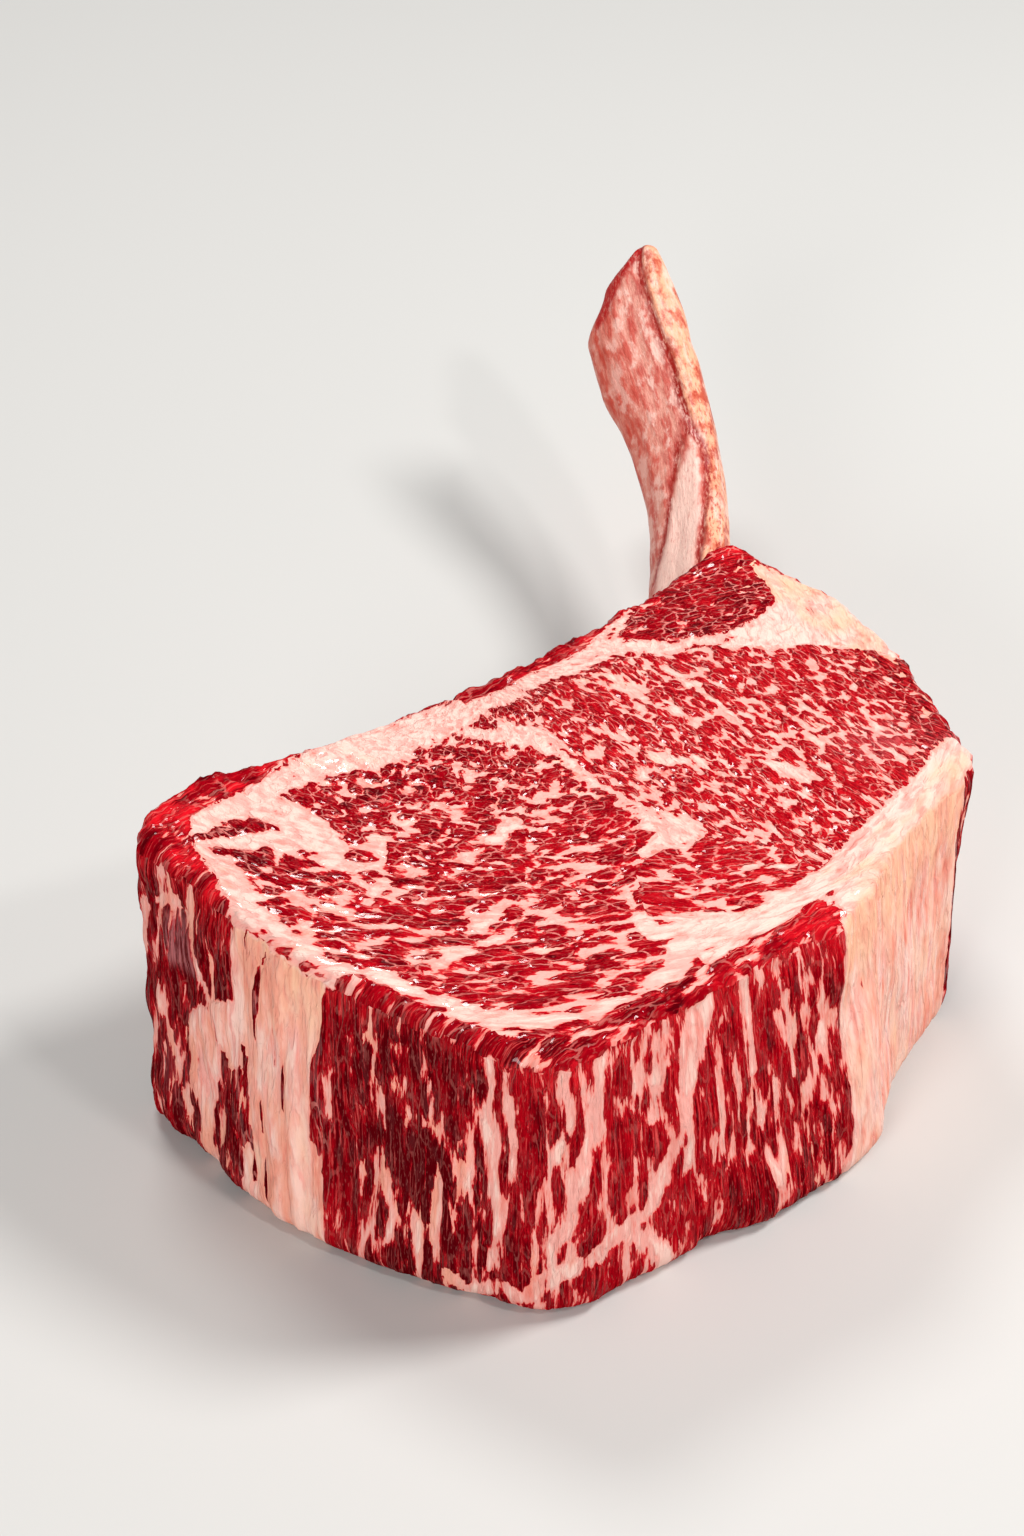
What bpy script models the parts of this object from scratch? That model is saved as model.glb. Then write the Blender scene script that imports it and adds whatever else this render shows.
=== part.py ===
# Raw bone-in ribeye steak, lying on its lower cut face.
# Metres, +Z up. X runs along the bone side, +Y points to the bone side,
# and the origin is the middle of the face that the steak rests on.

import math

import bmesh
import bpy
from mathutils import Vector, geometry, noise

MM = 0.001

# Driving sizes of the meat.
THICKNESS = 0.075
LOWER_EDGE = 0.0065
LOWER_INSET = 0.0052
UPPER_EDGE = 0.0028
EDGE_RINGS = 3
AROUND_STEP = 0.0043
LEVEL_COUNT = 11
FACE_STEP = 0.0052

# Corners of the outline in millimetres: place on the upper cut face, place on
# the lower cut face, and how far the rounding reaches back along each side.
CORNERS = {
    "chine_end": {"upper": (-98, 69), "lower": (-108, 58), "reach": 27},
    "front_left": {"upper": (-79, -66), "lower": (-79, -67), "reach": 14},
    "fat_corner": {"upper": (10, -69), "lower": (14, -77), "reach": 11},
    "tail_end": {"upper": (74, -46), "lower": (73, -45), "reach": 9},
    "cap_side": {"upper": (103, 18), "lower": (97, 17), "reach": 32},
    "rib_corner": {"upper": (94, 60), "lower": (90, 58), "reach": 9},
}

# How far each side bows out of the straight line between its corners, in
# millimetres, on the upper and on the lower cut face.
SIDE_BOWS = {
    "chine_end": (5, 9),
    "front_left": (-1, 1),
    "fat_corner": (-3, -3),
    "tail_end": (0, 1),
    "cap_side": (0, 0),
    "rib_corner": (-9, -8),
}

# Low knobs and hollows on the upper cut face, in millimetres:
# x, y, radius, height.
FACE_SWELLS = {
    "rib_nub": (89, 54, 7, 3.2),
    "small_muscle": (74, 40, 20, 0.9),
    "seam_under_small_muscle": (50, 36, 9, -0.9),
    "eye_muscle": (45, -2, 38, 1.0),
    "seam_ahead_of_eye": (22, -44, 10, -1.1),
    "seam_beside_eye": (2, 4, 8, -0.8),
    "cap_muscle": (-45, -8, 40, 0.9),
    "back_fat": (-30, 50, 14, 1.1),
    "chine_peak": (-69, 66, 6, 2.8),
    "rolled_tail": (73, -39, 8, 1.6),
    "front_lip": (-30, -58, 12, -0.9),
}

# Swells and dents of the sides, in millimetres: x, y, z of the middle,
# radius in plan, radius in height, and how far it stands out.
SIDE_SWELLS = {
    "chine_flap": (-97, 57, 68, 8, 9, 1.8),
    "fat_band": (-98, 2, 38, 15, 60, 1.1),
    "wedge_by_fat_band": (-104, 32, 30, 7, 22, -1.0),
    "cut_by_fat_band": (-93, -24, 36, 4, 50, -0.9),
    "front_corner_fold": (-66, -66, 34, 6, 40, 1.2),
    "front_seam": (-50, -68, 36, 4, 40, -1.0),
    "front_foot_dent": (-31, -73, 2, 7, 10, -2.6),
    "front_foot_lump": (-18, -74, 8, 9, 12, 1.2),
    "corner_lobe": (5, -69, 66, 8, 11, 1.6),
    "fat_cap_step": (16, -68, 38, 5, 50, -0.9),
    "fat_cap": (45, -53, 38, 22, 60, 0.9),
    "rolled_tail_edge": (73, -42, 68, 7, 8, 1.4),
}

# Upright folds in the sides, in metres.
FOLD_DEPTH = 0.0016
FOLD_WIDTH = 0.0085
FOLD_LENGTH = 0.055
LUMP_DEPTH = 0.0011
LUMP_SIZE = 0.021
FACE_RELIEF = 0.0007
FACE_RELIEF_SIZE = 0.016
RIM_CALM = 0.35

# Stations of the rib from its cut end in the meat to its free tip:
# length along it (mm), heading in plan, climb and roll (degrees), half width
# below the ridge, half width above it, half thickness (mm). The other rib
# lengths are in millimetres too.
RIB_START = (-62, 50, 32)
RIB_STATIONS = (
    (0, 12, 1, 88, 9, 7, 5.0),
    (25, 3, 1, 88, 13, 9, 6.3),
    (70, 0, 2, 86, 13, 9, 6.6),
    (105, 5, 3, 74, 12.5, 8.5, 6.6),
    (150, 28, 4, 50, 13, 8, 6.6),
    (185, 44, 7, 34, 17, 7.3, 6.5),
    (215, 50, 11, 30, 16.5, 6.6, 6.3),
    (245, 57, 15, 28, 18.5, 6.6, 6.0),
    (270, 63, 18, 27, 22, 7.3, 5.6),
    (290, 61, 20, 27, 22, 7.6, 5.0),
    (305, 59, 22, 27, 13.5, 6.0, 4.0),
    (316, 57, 22, 27, 2, 4.4, 2.4),
)
RIB_STEP = 7.5
RIB_SIDES = 24
RIB_TIP_RINGS = 7
RIB_SQUARENESS = 0.83
RIB_TAPER = 0.35
RIB_GROOVE = 0.1
RIB_GROOVE_PLACE = 0.25
RIB_GROOVE_WIDTH = 0.18
RIB_GAP = 0.3

SEED_FOLDS = Vector((3.1, 7.7, 1.9))
SEED_LUMPS = Vector((11.3, 2.5, 8.1))
SEED_FACE = Vector((5.9, 13.7, 4.3))


def clear_scene():
    for old in list(bpy.data.objects):
        bpy.data.objects.remove(old, do_unlink=True)


def lerp(a, b, t):
    return a + (b - a) * t


def smooth(t):
    t = min(max(t, 0.0), 1.0)
    return t * t * (3.0 - 2.0 * t)


def corner_places(level):
    # Corner points of the outline at a level from 0 (lower face) to 1 (upper face).
    places = []
    for corner in CORNERS.values():
        lower = Vector(corner["lower"])
        upper = Vector(corner["upper"])
        places.append(lower.lerp(upper, level) * MM)
    return places


def stretch_counts():
    # Point counts of each rounding and each side, the same on every level.
    places = corner_places(1.0)
    reaches = [corner["reach"] * MM for corner in CORNERS.values()]
    counts = []
    for i, place in enumerate(places):
        after = (i + 1) % len(places)
        run = (places[after] - place).length - reaches[i] - reaches[after]
        rounding = max(3, round(1.6 * reaches[i] / AROUND_STEP))
        counts.append((rounding, max(3, round(run / AROUND_STEP))))
    return counts


def outline(level):
    # Closed plan outline: each corner a quadratic curve, each side a soft bow.
    places = corner_places(level)
    reaches = [corner["reach"] * MM for corner in CORNERS.values()]
    bows = [lerp(lower, upper, level) * MM for upper, lower in SIDE_BOWS.values()]
    points = []
    for i, (rounding, along) in enumerate(stretch_counts()):
        before = places[i - 1]
        here = places[i]
        after_index = (i + 1) % len(places)
        after = places[after_index]
        start = here + (before - here).normalized() * reaches[i]
        end = here + (after - here).normalized() * reaches[i]
        for k in range(rounding):
            t = k / rounding
            points.append(start.lerp(here, t).lerp(here.lerp(end, t), t))
        far = after + (here - after).normalized() * reaches[after_index]
        run = (far - end).normalized()
        outward = Vector((-run.y, run.x)) * -1.0
        for k in range(along):
            t = k / along
            bow = 4.0 * t * (1.0 - t)
            points.append(end.lerp(far, t) + outward * bow * bows[i])
    return points


def outward_normals(points):
    normals = []
    for i, point in enumerate(points):
        run = (points[(i + 1) % len(points)] - points[i - 1]).normalized()
        normals.append(Vector((run.y, -run.x)))
    return normals


def side_relief(place, height):
    # Upright folds and soft lumps of the raw side, calmer towards both edges.
    along = Vector((place.x, place.y, 0.0)) / FOLD_WIDTH
    folds = noise.noise(along + Vector((0.0, 0.0, height / FOLD_LENGTH)) + SEED_FOLDS)
    lumps = noise.noise(Vector((place.x, place.y, height)) / LUMP_SIZE + SEED_LUMPS)
    level = height / THICKNESS
    calm = lerp(RIM_CALM, 1.0, smooth(4.0 * level * (1.0 - level)))
    push = calm * (FOLD_DEPTH * folds + LUMP_DEPTH * lumps)
    for x, y, z, radius, rise, out in SIDE_SWELLS.values():
        away = (place - Vector((x, y)) * MM).length / (radius * MM)
        above = (height - z * MM) / (rise * MM)
        push += out * MM * math.exp(-away * away - above * above)
    return push


def face_relief(place):
    # Height of the upper cut face above its mean plane.
    rise = FACE_RELIEF * noise.noise(Vector((place.x, place.y, 0.0)) / FACE_RELIEF_SIZE + SEED_FACE)
    for x, y, radius, height in FACE_SWELLS.values():
        distance = (place - Vector((x, y)) * MM).length / (radius * MM)
        rise += height * MM * math.exp(-distance * distance)
    return rise


def side_levels():
    # Heights and insets of the rings from the resting face to the upper rim.
    rings = []
    for k in range(EDGE_RINGS + 1):
        turn = k / EDGE_RINGS * math.pi / 2.0
        rings.append((LOWER_EDGE * (1.0 - math.cos(turn)), LOWER_INSET * (1.0 - math.sin(turn))))
    upper = THICKNESS - UPPER_EDGE
    for k in range(1, LEVEL_COUNT):
        rings.append((lerp(LOWER_EDGE, upper, k / LEVEL_COUNT), 0.0))
    for k in range(EDGE_RINGS):
        turn = k / (EDGE_RINGS - 1) * math.pi / 2.0
        rings.append((upper + UPPER_EDGE * math.sin(turn), UPPER_EDGE * (1.0 - math.cos(turn))))
    return rings


def side_ring(height, inset):
    points = outline(height / THICKNESS)
    ring = []
    for point, normal in zip(points, outward_normals(points)):
        push = side_relief(point, height) - inset
        place = point + normal * push
        ring.append(Vector((place.x, place.y, height)))
    return ring


def face_grid(rim):
    # Even triangular grid of points inside the rim of the upper face.
    flat = [point.to_2d() for point in rim]
    low_x = min(point.x for point in flat)
    high_x = max(point.x for point in flat)
    low_y = min(point.y for point in flat)
    high_y = max(point.y for point in flat)
    row_step = FACE_STEP * math.sqrt(3.0) / 2.0
    inside = []
    row = 0
    y = low_y
    while y < high_y:
        x = low_x + (row % 2) * FACE_STEP / 2.0
        while x < high_x:
            place = Vector((x, y))
            clear = min((place - point).length for point in flat) > FACE_STEP * 0.6
            if clear and winding(place, flat):
                inside.append(place)
            x += FACE_STEP
        row += 1
        y += row_step
    return inside


def winding(place, loop):
    # Whether a point lies inside a closed outline.
    inside = False
    for i, point in enumerate(loop):
        before = loop[i - 1]
        if (point.y > place.y) != (before.y > place.y):
            cross = (before.x - point.x) * (place.y - point.y) / (before.y - point.y) + point.x
            if place.x < cross:
                inside = not inside
    return inside


def make_meat():
    rings = [side_ring(height, inset) for height, inset in side_levels()]
    rim = rings[-1]
    rim = [Vector((point.x, point.y, point.z + face_relief(point.to_2d()))) for point in rim]
    rings[-1] = rim
    shape = bmesh.new()
    rows = [[shape.verts.new(point) for point in ring] for ring in rings]
    count = len(rim)
    for lower, upper in zip(rows, rows[1:]):
        for i in range(count):
            after = (i + 1) % count
            shape.faces.new((lower[i], lower[after], upper[after], upper[i]))
    shape.faces.new(list(reversed(rows[0])))

    flat = [point.to_2d() for point in rim]
    grid = face_grid(rim)
    loop_edges = [(i, (i + 1) % count) for i in range(count)]
    meshed = geometry.delaunay_2d_cdt(flat + grid, loop_edges, [], 1, 0.00001)
    places, triangles, origins = meshed[0], meshed[2], meshed[3]
    top = []
    for place, origin in zip(places, origins):
        if origin and origin[0] < count:
            top.append(rows[-1][origin[0]])
        else:
            top.append(shape.verts.new((place.x, place.y, THICKNESS + face_relief(place))))
    for triangle in triangles:
        shape.faces.new([top[i] for i in triangle])
    bmesh.ops.triangulate(shape, faces=[face for face in shape.faces if len(face.verts) > 3])
    bmesh.ops.recalc_face_normals(shape, faces=shape.faces)
    return finish_mesh("meat", shape)


def rib_values(length):
    # Heading, climb, roll and section sizes of the rib at a length along it.
    for low, high in zip(RIB_STATIONS, RIB_STATIONS[1:]):
        if length <= high[0]:
            t = (length - low[0]) / (high[0] - low[0])
            eased = 0.5 * t + 0.5 * smooth(t)
            return [lerp(a, b, eased) for a, b in zip(low[1:], high[1:])]
    return list(RIB_STATIONS[-1][1:])


def rib_lengths():
    # Even steps along the shaft, then finer ones where the tip rounds over.
    lengths = [0.0]
    while lengths[-1] < RIB_STATIONS[-3][0]:
        lengths.append(lengths[-1] + RIB_STEP)
    shaft_end = lengths[-1]
    for k in range(1, RIB_TIP_RINGS + 1):
        turn = k / RIB_TIP_RINGS * math.pi / 2.0
        lengths.append(lerp(shaft_end, RIB_STATIONS[-1][0], math.sin(turn)))
    return lengths


def rib_run(heading, climb):
    # Unit direction from a heading in plan and a climb, both in degrees.
    flat = math.cos(math.radians(climb))
    turn = math.radians(heading)
    return Vector((flat * math.cos(turn), flat * math.sin(turn), math.sin(math.radians(climb))))


def rib_frames():
    # Ridge line of the rib with the across and outward directions of each section.
    place = Vector(RIB_START)
    before = 0.0
    frames = []
    for length in rib_lengths():
        middle = rib_values(0.5 * (before + length))
        place = place + rib_run(middle[0], middle[1]) * (length - before)
        before = length
        heading, climb, roll, below, above, thick = rib_values(length)
        run = rib_run(heading, climb)
        right = run.cross(Vector((0.0, 0.0, 1.0))).normalized()
        up = right.cross(run)
        turn = math.radians(roll)
        across = right * math.cos(turn) + up * math.sin(turn)
        outward = up * math.cos(turn) - right * math.sin(turn)
        frames.append((place, across, outward, below, above, thick))
    return frames


def rib_section(place, across, outward, below, above, thick, gap):
    # Flat oval with a full ridge side, a thin far edge and a groove beside the ridge.
    points = []
    for k in range(RIB_SIDES):
        angle = 2.0 * math.pi * k / RIB_SIDES
        side = math.cos(angle)
        lift = math.sin(angle)
        reach = above if side > 0.0 else below
        taper = 1.0 if side > 0.0 else 1.0 - RIB_TAPER * side * side
        groove = 0.0
        if lift > 0.0:
            groove = RIB_GROOVE * math.exp(-((side + RIB_GROOVE_PLACE) / RIB_GROOVE_WIDTH) ** 2)
        x = reach * math.copysign(abs(side) ** RIB_SQUARENESS, side) + gap * side
        y = thick * taper * (1.0 - groove) * math.copysign(abs(lift) ** RIB_SQUARENESS, lift) + gap * lift
        points.append((place + across * x + outward * y) * MM)
    return points


def make_rib(name, gap):
    shape = bmesh.new()
    rows = []
    for frame in rib_frames():
        rows.append([shape.verts.new(point) for point in rib_section(*frame, gap)])
    for lower, upper in zip(rows, rows[1:]):
        for i in range(RIB_SIDES):
            after = (i + 1) % RIB_SIDES
            shape.faces.new((lower[i], lower[after], upper[after], upper[i]))
    shape.faces.new(list(reversed(rows[0])))
    shape.faces.new(rows[-1])
    bmesh.ops.triangulate(shape, faces=[face for face in shape.faces if len(face.verts) > 3])
    bmesh.ops.recalc_face_normals(shape, faces=shape.faces)
    return finish_mesh(name, shape)


def finish_mesh(name, shape):
    mesh = bpy.data.meshes.new(name)
    shape.to_mesh(mesh)
    shape.free()
    mesh.shade_smooth()
    mesh.set_sharp_from_angle(angle=math.radians(50.0))
    return bpy.data.objects.new(name, mesh)


def cut_rib_groove(meat, cutter):
    cutter.hide_render = True
    cutter.display_type = "WIRE"
    cut = meat.modifiers.new("rib_groove", "BOOLEAN")
    cut.operation = "DIFFERENCE"
    cut.object = cutter
    cut.solver = "EXACT"


def make_material(name, colour, roughness):
    material = bpy.data.materials.new(name)
    material.use_nodes = True
    shader = material.node_tree.nodes["Principled BSDF"]
    shader.inputs["Base Color"].default_value = (*colour, 1.0)
    shader.inputs["Roughness"].default_value = roughness
    shader.inputs["Metallic"].default_value = 0.0
    return material


def make_collection(name, members):
    collection = bpy.data.collections.new(name)
    bpy.context.scene.collection.children.link(collection)
    for member in members:
        collection.objects.link(member)
    return collection


def main():
    clear_scene()
    meat = make_meat()
    rib = make_rib("rib_bone", 0.0)
    cutter = make_rib("rib_groove_cutter", RIB_GAP)
    meat.data.materials.append(make_material("marbled_raw_beef", (0.42, 0.05, 0.05), 0.32))
    rib.data.materials.append(make_material("scraped_rib_bone", (0.72, 0.42, 0.34), 0.38))
    make_collection("ribeye_steak", (meat, rib))
    make_collection("cutters", (cutter,))
    cut_rib_groove(meat, cutter)


main()
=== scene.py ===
import math

import bmesh
import bpy
import numpy as np
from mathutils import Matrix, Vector, geometry, noise


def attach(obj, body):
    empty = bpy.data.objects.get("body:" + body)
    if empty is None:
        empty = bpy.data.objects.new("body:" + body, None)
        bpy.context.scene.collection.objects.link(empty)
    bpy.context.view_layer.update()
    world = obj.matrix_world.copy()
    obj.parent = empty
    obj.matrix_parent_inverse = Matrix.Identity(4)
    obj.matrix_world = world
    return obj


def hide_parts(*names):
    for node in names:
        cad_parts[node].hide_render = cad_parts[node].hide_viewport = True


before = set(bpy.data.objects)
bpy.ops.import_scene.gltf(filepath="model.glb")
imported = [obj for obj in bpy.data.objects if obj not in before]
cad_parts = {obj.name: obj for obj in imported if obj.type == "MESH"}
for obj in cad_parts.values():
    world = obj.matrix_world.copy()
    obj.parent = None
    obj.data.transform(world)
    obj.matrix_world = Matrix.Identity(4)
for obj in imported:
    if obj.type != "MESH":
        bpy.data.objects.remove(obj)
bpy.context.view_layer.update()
print("frame loaded")

mm = 0.001


# The meat's form: the same corners, bows and swells as its solid, in millimetres.
meatForm = {
    "thickness": 75.0,
    "lowerEdge": 6.5,
    "lowerInset": 5.2,
    "lowerEdgeRings": 7,
    "upperEdge": 2.8,
    "upperEdgeRings": 5,
    "aroundStep": 1.0,
    "cornerRun": 1.6,  # length of a rounded corner for each millimetre of its reach
    "levelStep": 1.05,
    "faceStep": 0.86,
    "baseStep": 3.0,
    "gridClearance": 0.62,  # steps kept free between a face's rim and its grid
    "foldDepth": 1.6,
    "foldWidth": 8.5,
    "foldLength": 55.0,
    "lumpDepth": 1.1,
    "lumpSize": 21.0,
    "faceRelief": 0.7,
    "faceReliefSize": 16.0,
    "rimCalm": 0.35,
    "foldSeed": (3.1, 7.7, 1.9),
    "lumpSeed": (11.3, 2.5, 8.1),
    "faceSeed": (5.9, 13.7, 4.3),
    "strandsFrom": (0.0, 3.0),  # height over which the strands fade in above the foot
    "rimHeight": 72.6,  # where the cut face's tissue takes over from the side's
    "rimWander": 1.5,
    "rimWanderSize": 4.0,
    "rimSeed": (2.2, 0.5, 0.1),
    "rimBlend": 0.9,
    "rimLumps": ((0.9, 3.0, (2.6, 7.1, 4.8)), (0.5, 1.5, (5.1, 0.2, 9.4))),
    "rimLumpsFrom": (64, 73),
    "baseShift": 47.0,  # gives the lower face a pattern of its own
    "baseShrink": 0.97,
}

# Corner: place on the upper face, place on the lower face, reach of its rounding.
meatCorners = {
    "chineEnd": ((-98, 69), (-108, 58), 27),
    "frontLeft": ((-79, -66), (-79, -67), 14),
    "fatCorner": ((10, -69), (14, -77), 11),
    "tailEnd": ((74, -46), (73, -45), 9),
    "capSide": ((103, 18), (97, 17), 32),
    "ribCorner": ((94, 60), (90, 58), 9),
}

# Bow of each side after its corner, on the upper and on the lower face.
meatBows = {
    "chineEnd": (5, 9),
    "frontLeft": (-1, 1),
    "fatCorner": (-3, -3),
    "tailEnd": (0, 1),
    "capSide": (0, 0),
    "ribCorner": (-9, -8),
}

# Knobs and hollows of the upper face: x, y, radius, height.
faceSwells = {
    "ribNub": (89, 54, 7, 3.2),
    "smallMuscle": (74, 40, 20, 0.9),
    "seamUnderSmallMuscle": (50, 36, 9, -0.9),
    "eyeMuscle": (45, -2, 38, 1.0),
    "seamAheadOfEye": (22, -44, 10, -1.1),
    "seamBesideEye": (2, 4, 8, -0.8),
    "capMuscle": (-45, -8, 40, 0.9),
    "backFat": (-30, 50, 14, 1.1),
    "chinePeak": (-69, 66, 6, 2.8),
    "rolledTail": (73, -39, 8, 1.6),
    "frontLip": (-30, -58, 12, -0.9),
}

# Swells and dents of the sides: x, y, z, radius in plan, radius in height, out.
sideSwells = {
    "chineFlap": (-97, 57, 68, 8, 9, 1.8),
    "fatBand": (-98, 2, 38, 15, 60, 1.1),
    "wedgeByFatBand": (-104, 32, 30, 7, 22, -1.0),
    "cutByFatBand": (-93, -24, 36, 4, 50, -0.9),
    "frontCornerFold": (-66, -66, 34, 6, 40, 1.2),
    "frontSeam": (-50, -68, 36, 4, 40, -1.0),
    "frontFootDent": (-31, -73, 2, 7, 10, -2.6),
    "frontFootLump": (-18, -74, 8, 9, 12, 1.2),
    "cornerLobe": (5, -69, 66, 8, 11, 1.6),
    "fatCapStep": (16, -68, 38, 5, 50, -0.9),
    "fatCap": (45, -53, 38, 22, 60, 0.9),
    "rolledTailEdge": (73, -42, 68, 7, 8, 1.4),
}


def smooth(t):
    t = np.clip(t, 0.0, 1.0)
    return t * t * (3.0 - 2.0 * t)


def ramp(value, low, high):
    # 0 at low and 1 at high, whichever of them is the larger
    return smooth((value - low) / (high - low))


def within(value, span):
    # fades in over the first two places of a span, and out over its last two
    return ramp(value, span[0], span[1]) * ramp(value, span[3], span[2])


def noiseAt(points, size, seed):
    scaled = np.asarray(points, float) / np.asarray(size, float) + np.asarray(seed, float)
    return np.array([noise.noise(p) for p in scaled.tolist()])


def lengths(vectors):
    return np.sqrt((vectors * vectors).sum(-1))


def unit(vector):
    return vector / math.sqrt(float((vector * vector).sum()))


def ringFaces(rings, count):
    # quads between closed rings of count points each
    faces = []
    for low in range(0, (rings - 1) * count, count):
        for i in range(count):
            after = (i + 1) % count
            faces.append((low + i, low + after, low + count + after, low + count + i))
    return faces


def addLayer(mesh, name, values, domain="POINT"):
    layer = mesh.attributes.new(name, "FLOAT_VECTOR", domain)
    layer.data.foreach_set("vector", values.astype(np.float32).ravel())


def placed(name, data):
    # a new object with this data in the scene
    piece = bpy.data.objects.new(name, data)
    bpy.context.scene.collection.objects.link(piece)
    return piece


def stretchCounts():
    upper = np.array([corner[0] for corner in meatCorners.values()], float)
    reach = [corner[2] for corner in meatCorners.values()]
    step = meatForm["aroundStep"]
    counts = []
    for i in range(len(upper)):
        after = (i + 1) % len(upper)
        run = lengths(upper[after] - upper[i]) - reach[i] - reach[after]
        rounded = round(meatForm["cornerRun"] * reach[i] / step)
        counts.append((max(3, rounded), max(3, round(float(run) / step))))
    return counts


def outlineAt(level):
    upper = np.array([corner[0] for corner in meatCorners.values()], float)
    lower = np.array([corner[1] for corner in meatCorners.values()], float)
    reach = [corner[2] for corner in meatCorners.values()]
    bows = [low + (high - low) * level for high, low in meatBows.values()]
    places = lower + (upper - lower) * level
    parts = []
    for i, (rounding, along) in enumerate(stretchCounts()):
        after = (i + 1) % len(places)
        here = places[i]
        start = here + unit(places[i - 1] - here) * reach[i]
        end = here + unit(places[after] - here) * reach[i]
        t = (np.arange(rounding) / rounding)[:, None]
        parts.append((start * (1 - t) + here * t) * (1 - t) + (here * (1 - t) + end * t) * t)
        far = places[after] + unit(here - places[after]) * reach[after]
        run = unit(far - end)
        outward = np.array([run[1], -run[0]])
        t = (np.arange(along) / along)[:, None]
        parts.append(end * (1 - t) + far * t + outward * (4.0 * t * (1.0 - t)) * bows[i])
    return np.concatenate(parts)


def outlineNormals(points):
    run = np.roll(points, -1, axis=0) - np.roll(points, 1, axis=0)
    run /= lengths(run)[:, None]
    return np.stack([run[:, 1], -run[:, 0]], axis=1)


def aroundLengths():
    # distance around the middle outline, the s of the side fields
    middle = outlineAt(0.5)
    steps = lengths(np.roll(middle, -1, axis=0) - middle)
    return np.concatenate([[0.0], np.cumsum(steps)[:-1]])


def sideRelief(places, height):
    form = meatForm
    count = len(places)
    column = np.full((count, 1), height)
    stretched = np.hstack([places / form["foldWidth"], column / form["foldLength"]])
    folds = noiseAt(stretched, 1.0, form["foldSeed"])
    lumps = noiseAt(np.hstack([places, column]) / form["lumpSize"], 1.0, form["lumpSeed"])
    level = height / form["thickness"]
    calm = form["rimCalm"] + (1.0 - form["rimCalm"]) * float(smooth(4.0 * level * (1.0 - level)))
    push = calm * (form["foldDepth"] * folds + form["lumpDepth"] * lumps)
    for x, y, z, radius, rise, out in sideSwells.values():
        away = lengths(places - np.array([x, y])) / radius
        push += out * np.exp(-away * away - ((height - z) / rise) ** 2)
    return push


# Fibre relief of the sides, in millimetres: depth, size around, size up, seed.
sideStrands = {
    "ropes": (0.55, 2.3, 26.0, (3.7, 1.1, 0.2)),
    "fineRopes": (0.30, 1.25, 15.0, (0.4, 8.3, 4.6)),
    "bandRopes": (0.9, 3.2, 34.0, (2.2, 6.7, 3.1)),
    "crags": (0.9, 3.4, 5.0, (6.4, 5.5, 1.7)),
    "chineCrags": (1.1, 5.5, 9.0, (9.4, 0.5, 7.7)),
}
# Where that relief comes and goes: distances around, and the heights of the crags.
strandSpans = {
    "fatBand": (62, 65, 86, 90),
    "fatCap": (230, 233, 291, 294),
    "bandRopes": (62, 66, 84, 90),
    "chineEnd": (62, 50),
    "cragHeight": (58, 72),
    "fatSmoothness": (0.55, 0.6),  # how much less of the ropes and of the crags fat has
}


def strandRelief(around, height):
    # bundles of fibres that run up the sides, and the craggy upper rim
    spans = strandSpans
    rows = np.stack([around, np.full(len(around), height), np.zeros(len(around))], axis=1)
    relief = {}
    for name, (depth, wide, tall, seed) in sideStrands.items():
        relief[name] = depth * noiseAt(rows, (wide, tall, 1.0), seed)
    fatty = within(around, spans["fatBand"]) + within(around, spans["fatCap"])
    fewerRopes, fewerCrags = spans["fatSmoothness"]
    ropes = (relief["ropes"] + relief["fineRopes"]) * (1.0 - fewerRopes * fatty)
    ropes += relief["bandRopes"] * within(around, spans["bandRopes"])
    crags = relief["crags"] * ramp(height, *spans["cragHeight"]) * (1.0 - fewerCrags * fatty)
    return ropes + crags + relief["chineCrags"] * ramp(around, *spans["chineEnd"])


def faceRelief(places):
    form = meatForm
    flat = np.hstack([places, np.zeros((len(places), 1))])
    rise = form["faceRelief"] * noiseAt(flat / form["faceReliefSize"], 1.0, form["faceSeed"])
    for x, y, radius, height in faceSwells.values():
        away = lengths(places - np.array([x, y])) / radius
        rise += height * np.exp(-away * away)
    return rise


def sideLevels():
    form = meatForm
    rings = []
    for k in range(form["lowerEdgeRings"] + 1):
        turn = k / form["lowerEdgeRings"] * math.pi / 2.0
        rise = form["lowerEdge"] * (1.0 - math.cos(turn))
        rings.append((rise, form["lowerInset"] * (1.0 - math.sin(turn))))
    upper = form["thickness"] - form["upperEdge"]
    count = round((upper - form["lowerEdge"]) / form["levelStep"])
    for k in range(1, count):
        rings.append((form["lowerEdge"] + (upper - form["lowerEdge"]) * k / count, 0.0))
    for k in range(form["upperEdgeRings"]):
        turn = k / (form["upperEdgeRings"] - 1) * math.pi / 2.0
        rise = upper + form["upperEdge"] * math.sin(turn)
        rings.append((rise, form["upperEdge"] * (1.0 - math.cos(turn))))
    return rings


def lineGap(places, line):
    # gap to a line drawn with a changing half width: below zero inside it
    best = np.full(len(places), 1.0e6)
    for a, b in zip(line, line[1:]):
        start = np.array(a[:2], float)
        run = np.array(b[:2], float) - start
        t = np.clip((places - start) @ run / max(float(run @ run), 1e-9), 0.0, 1.0)
        away = lengths(places - start - t[:, None] * run)
        best = np.minimum(best, away - (a[2] + (b[2] - a[2]) * t))
    return best


def insideLoop(places, loop):
    inside = np.zeros(len(places), bool)
    loop = np.asarray(loop, float)
    for here, before in zip(loop, np.roll(loop, 1, axis=0)):
        span = (here[1] > places[:, 1]) != (before[1] > places[:, 1])
        rise = before[1] - here[1]
        rise = rise if abs(rise) > 1e-9 else 1e-9
        cross = (before[0] - here[0]) * (places[:, 1] - here[1]) / rise + here[0]
        inside ^= span & (places[:, 0] < cross)
    return inside


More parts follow.
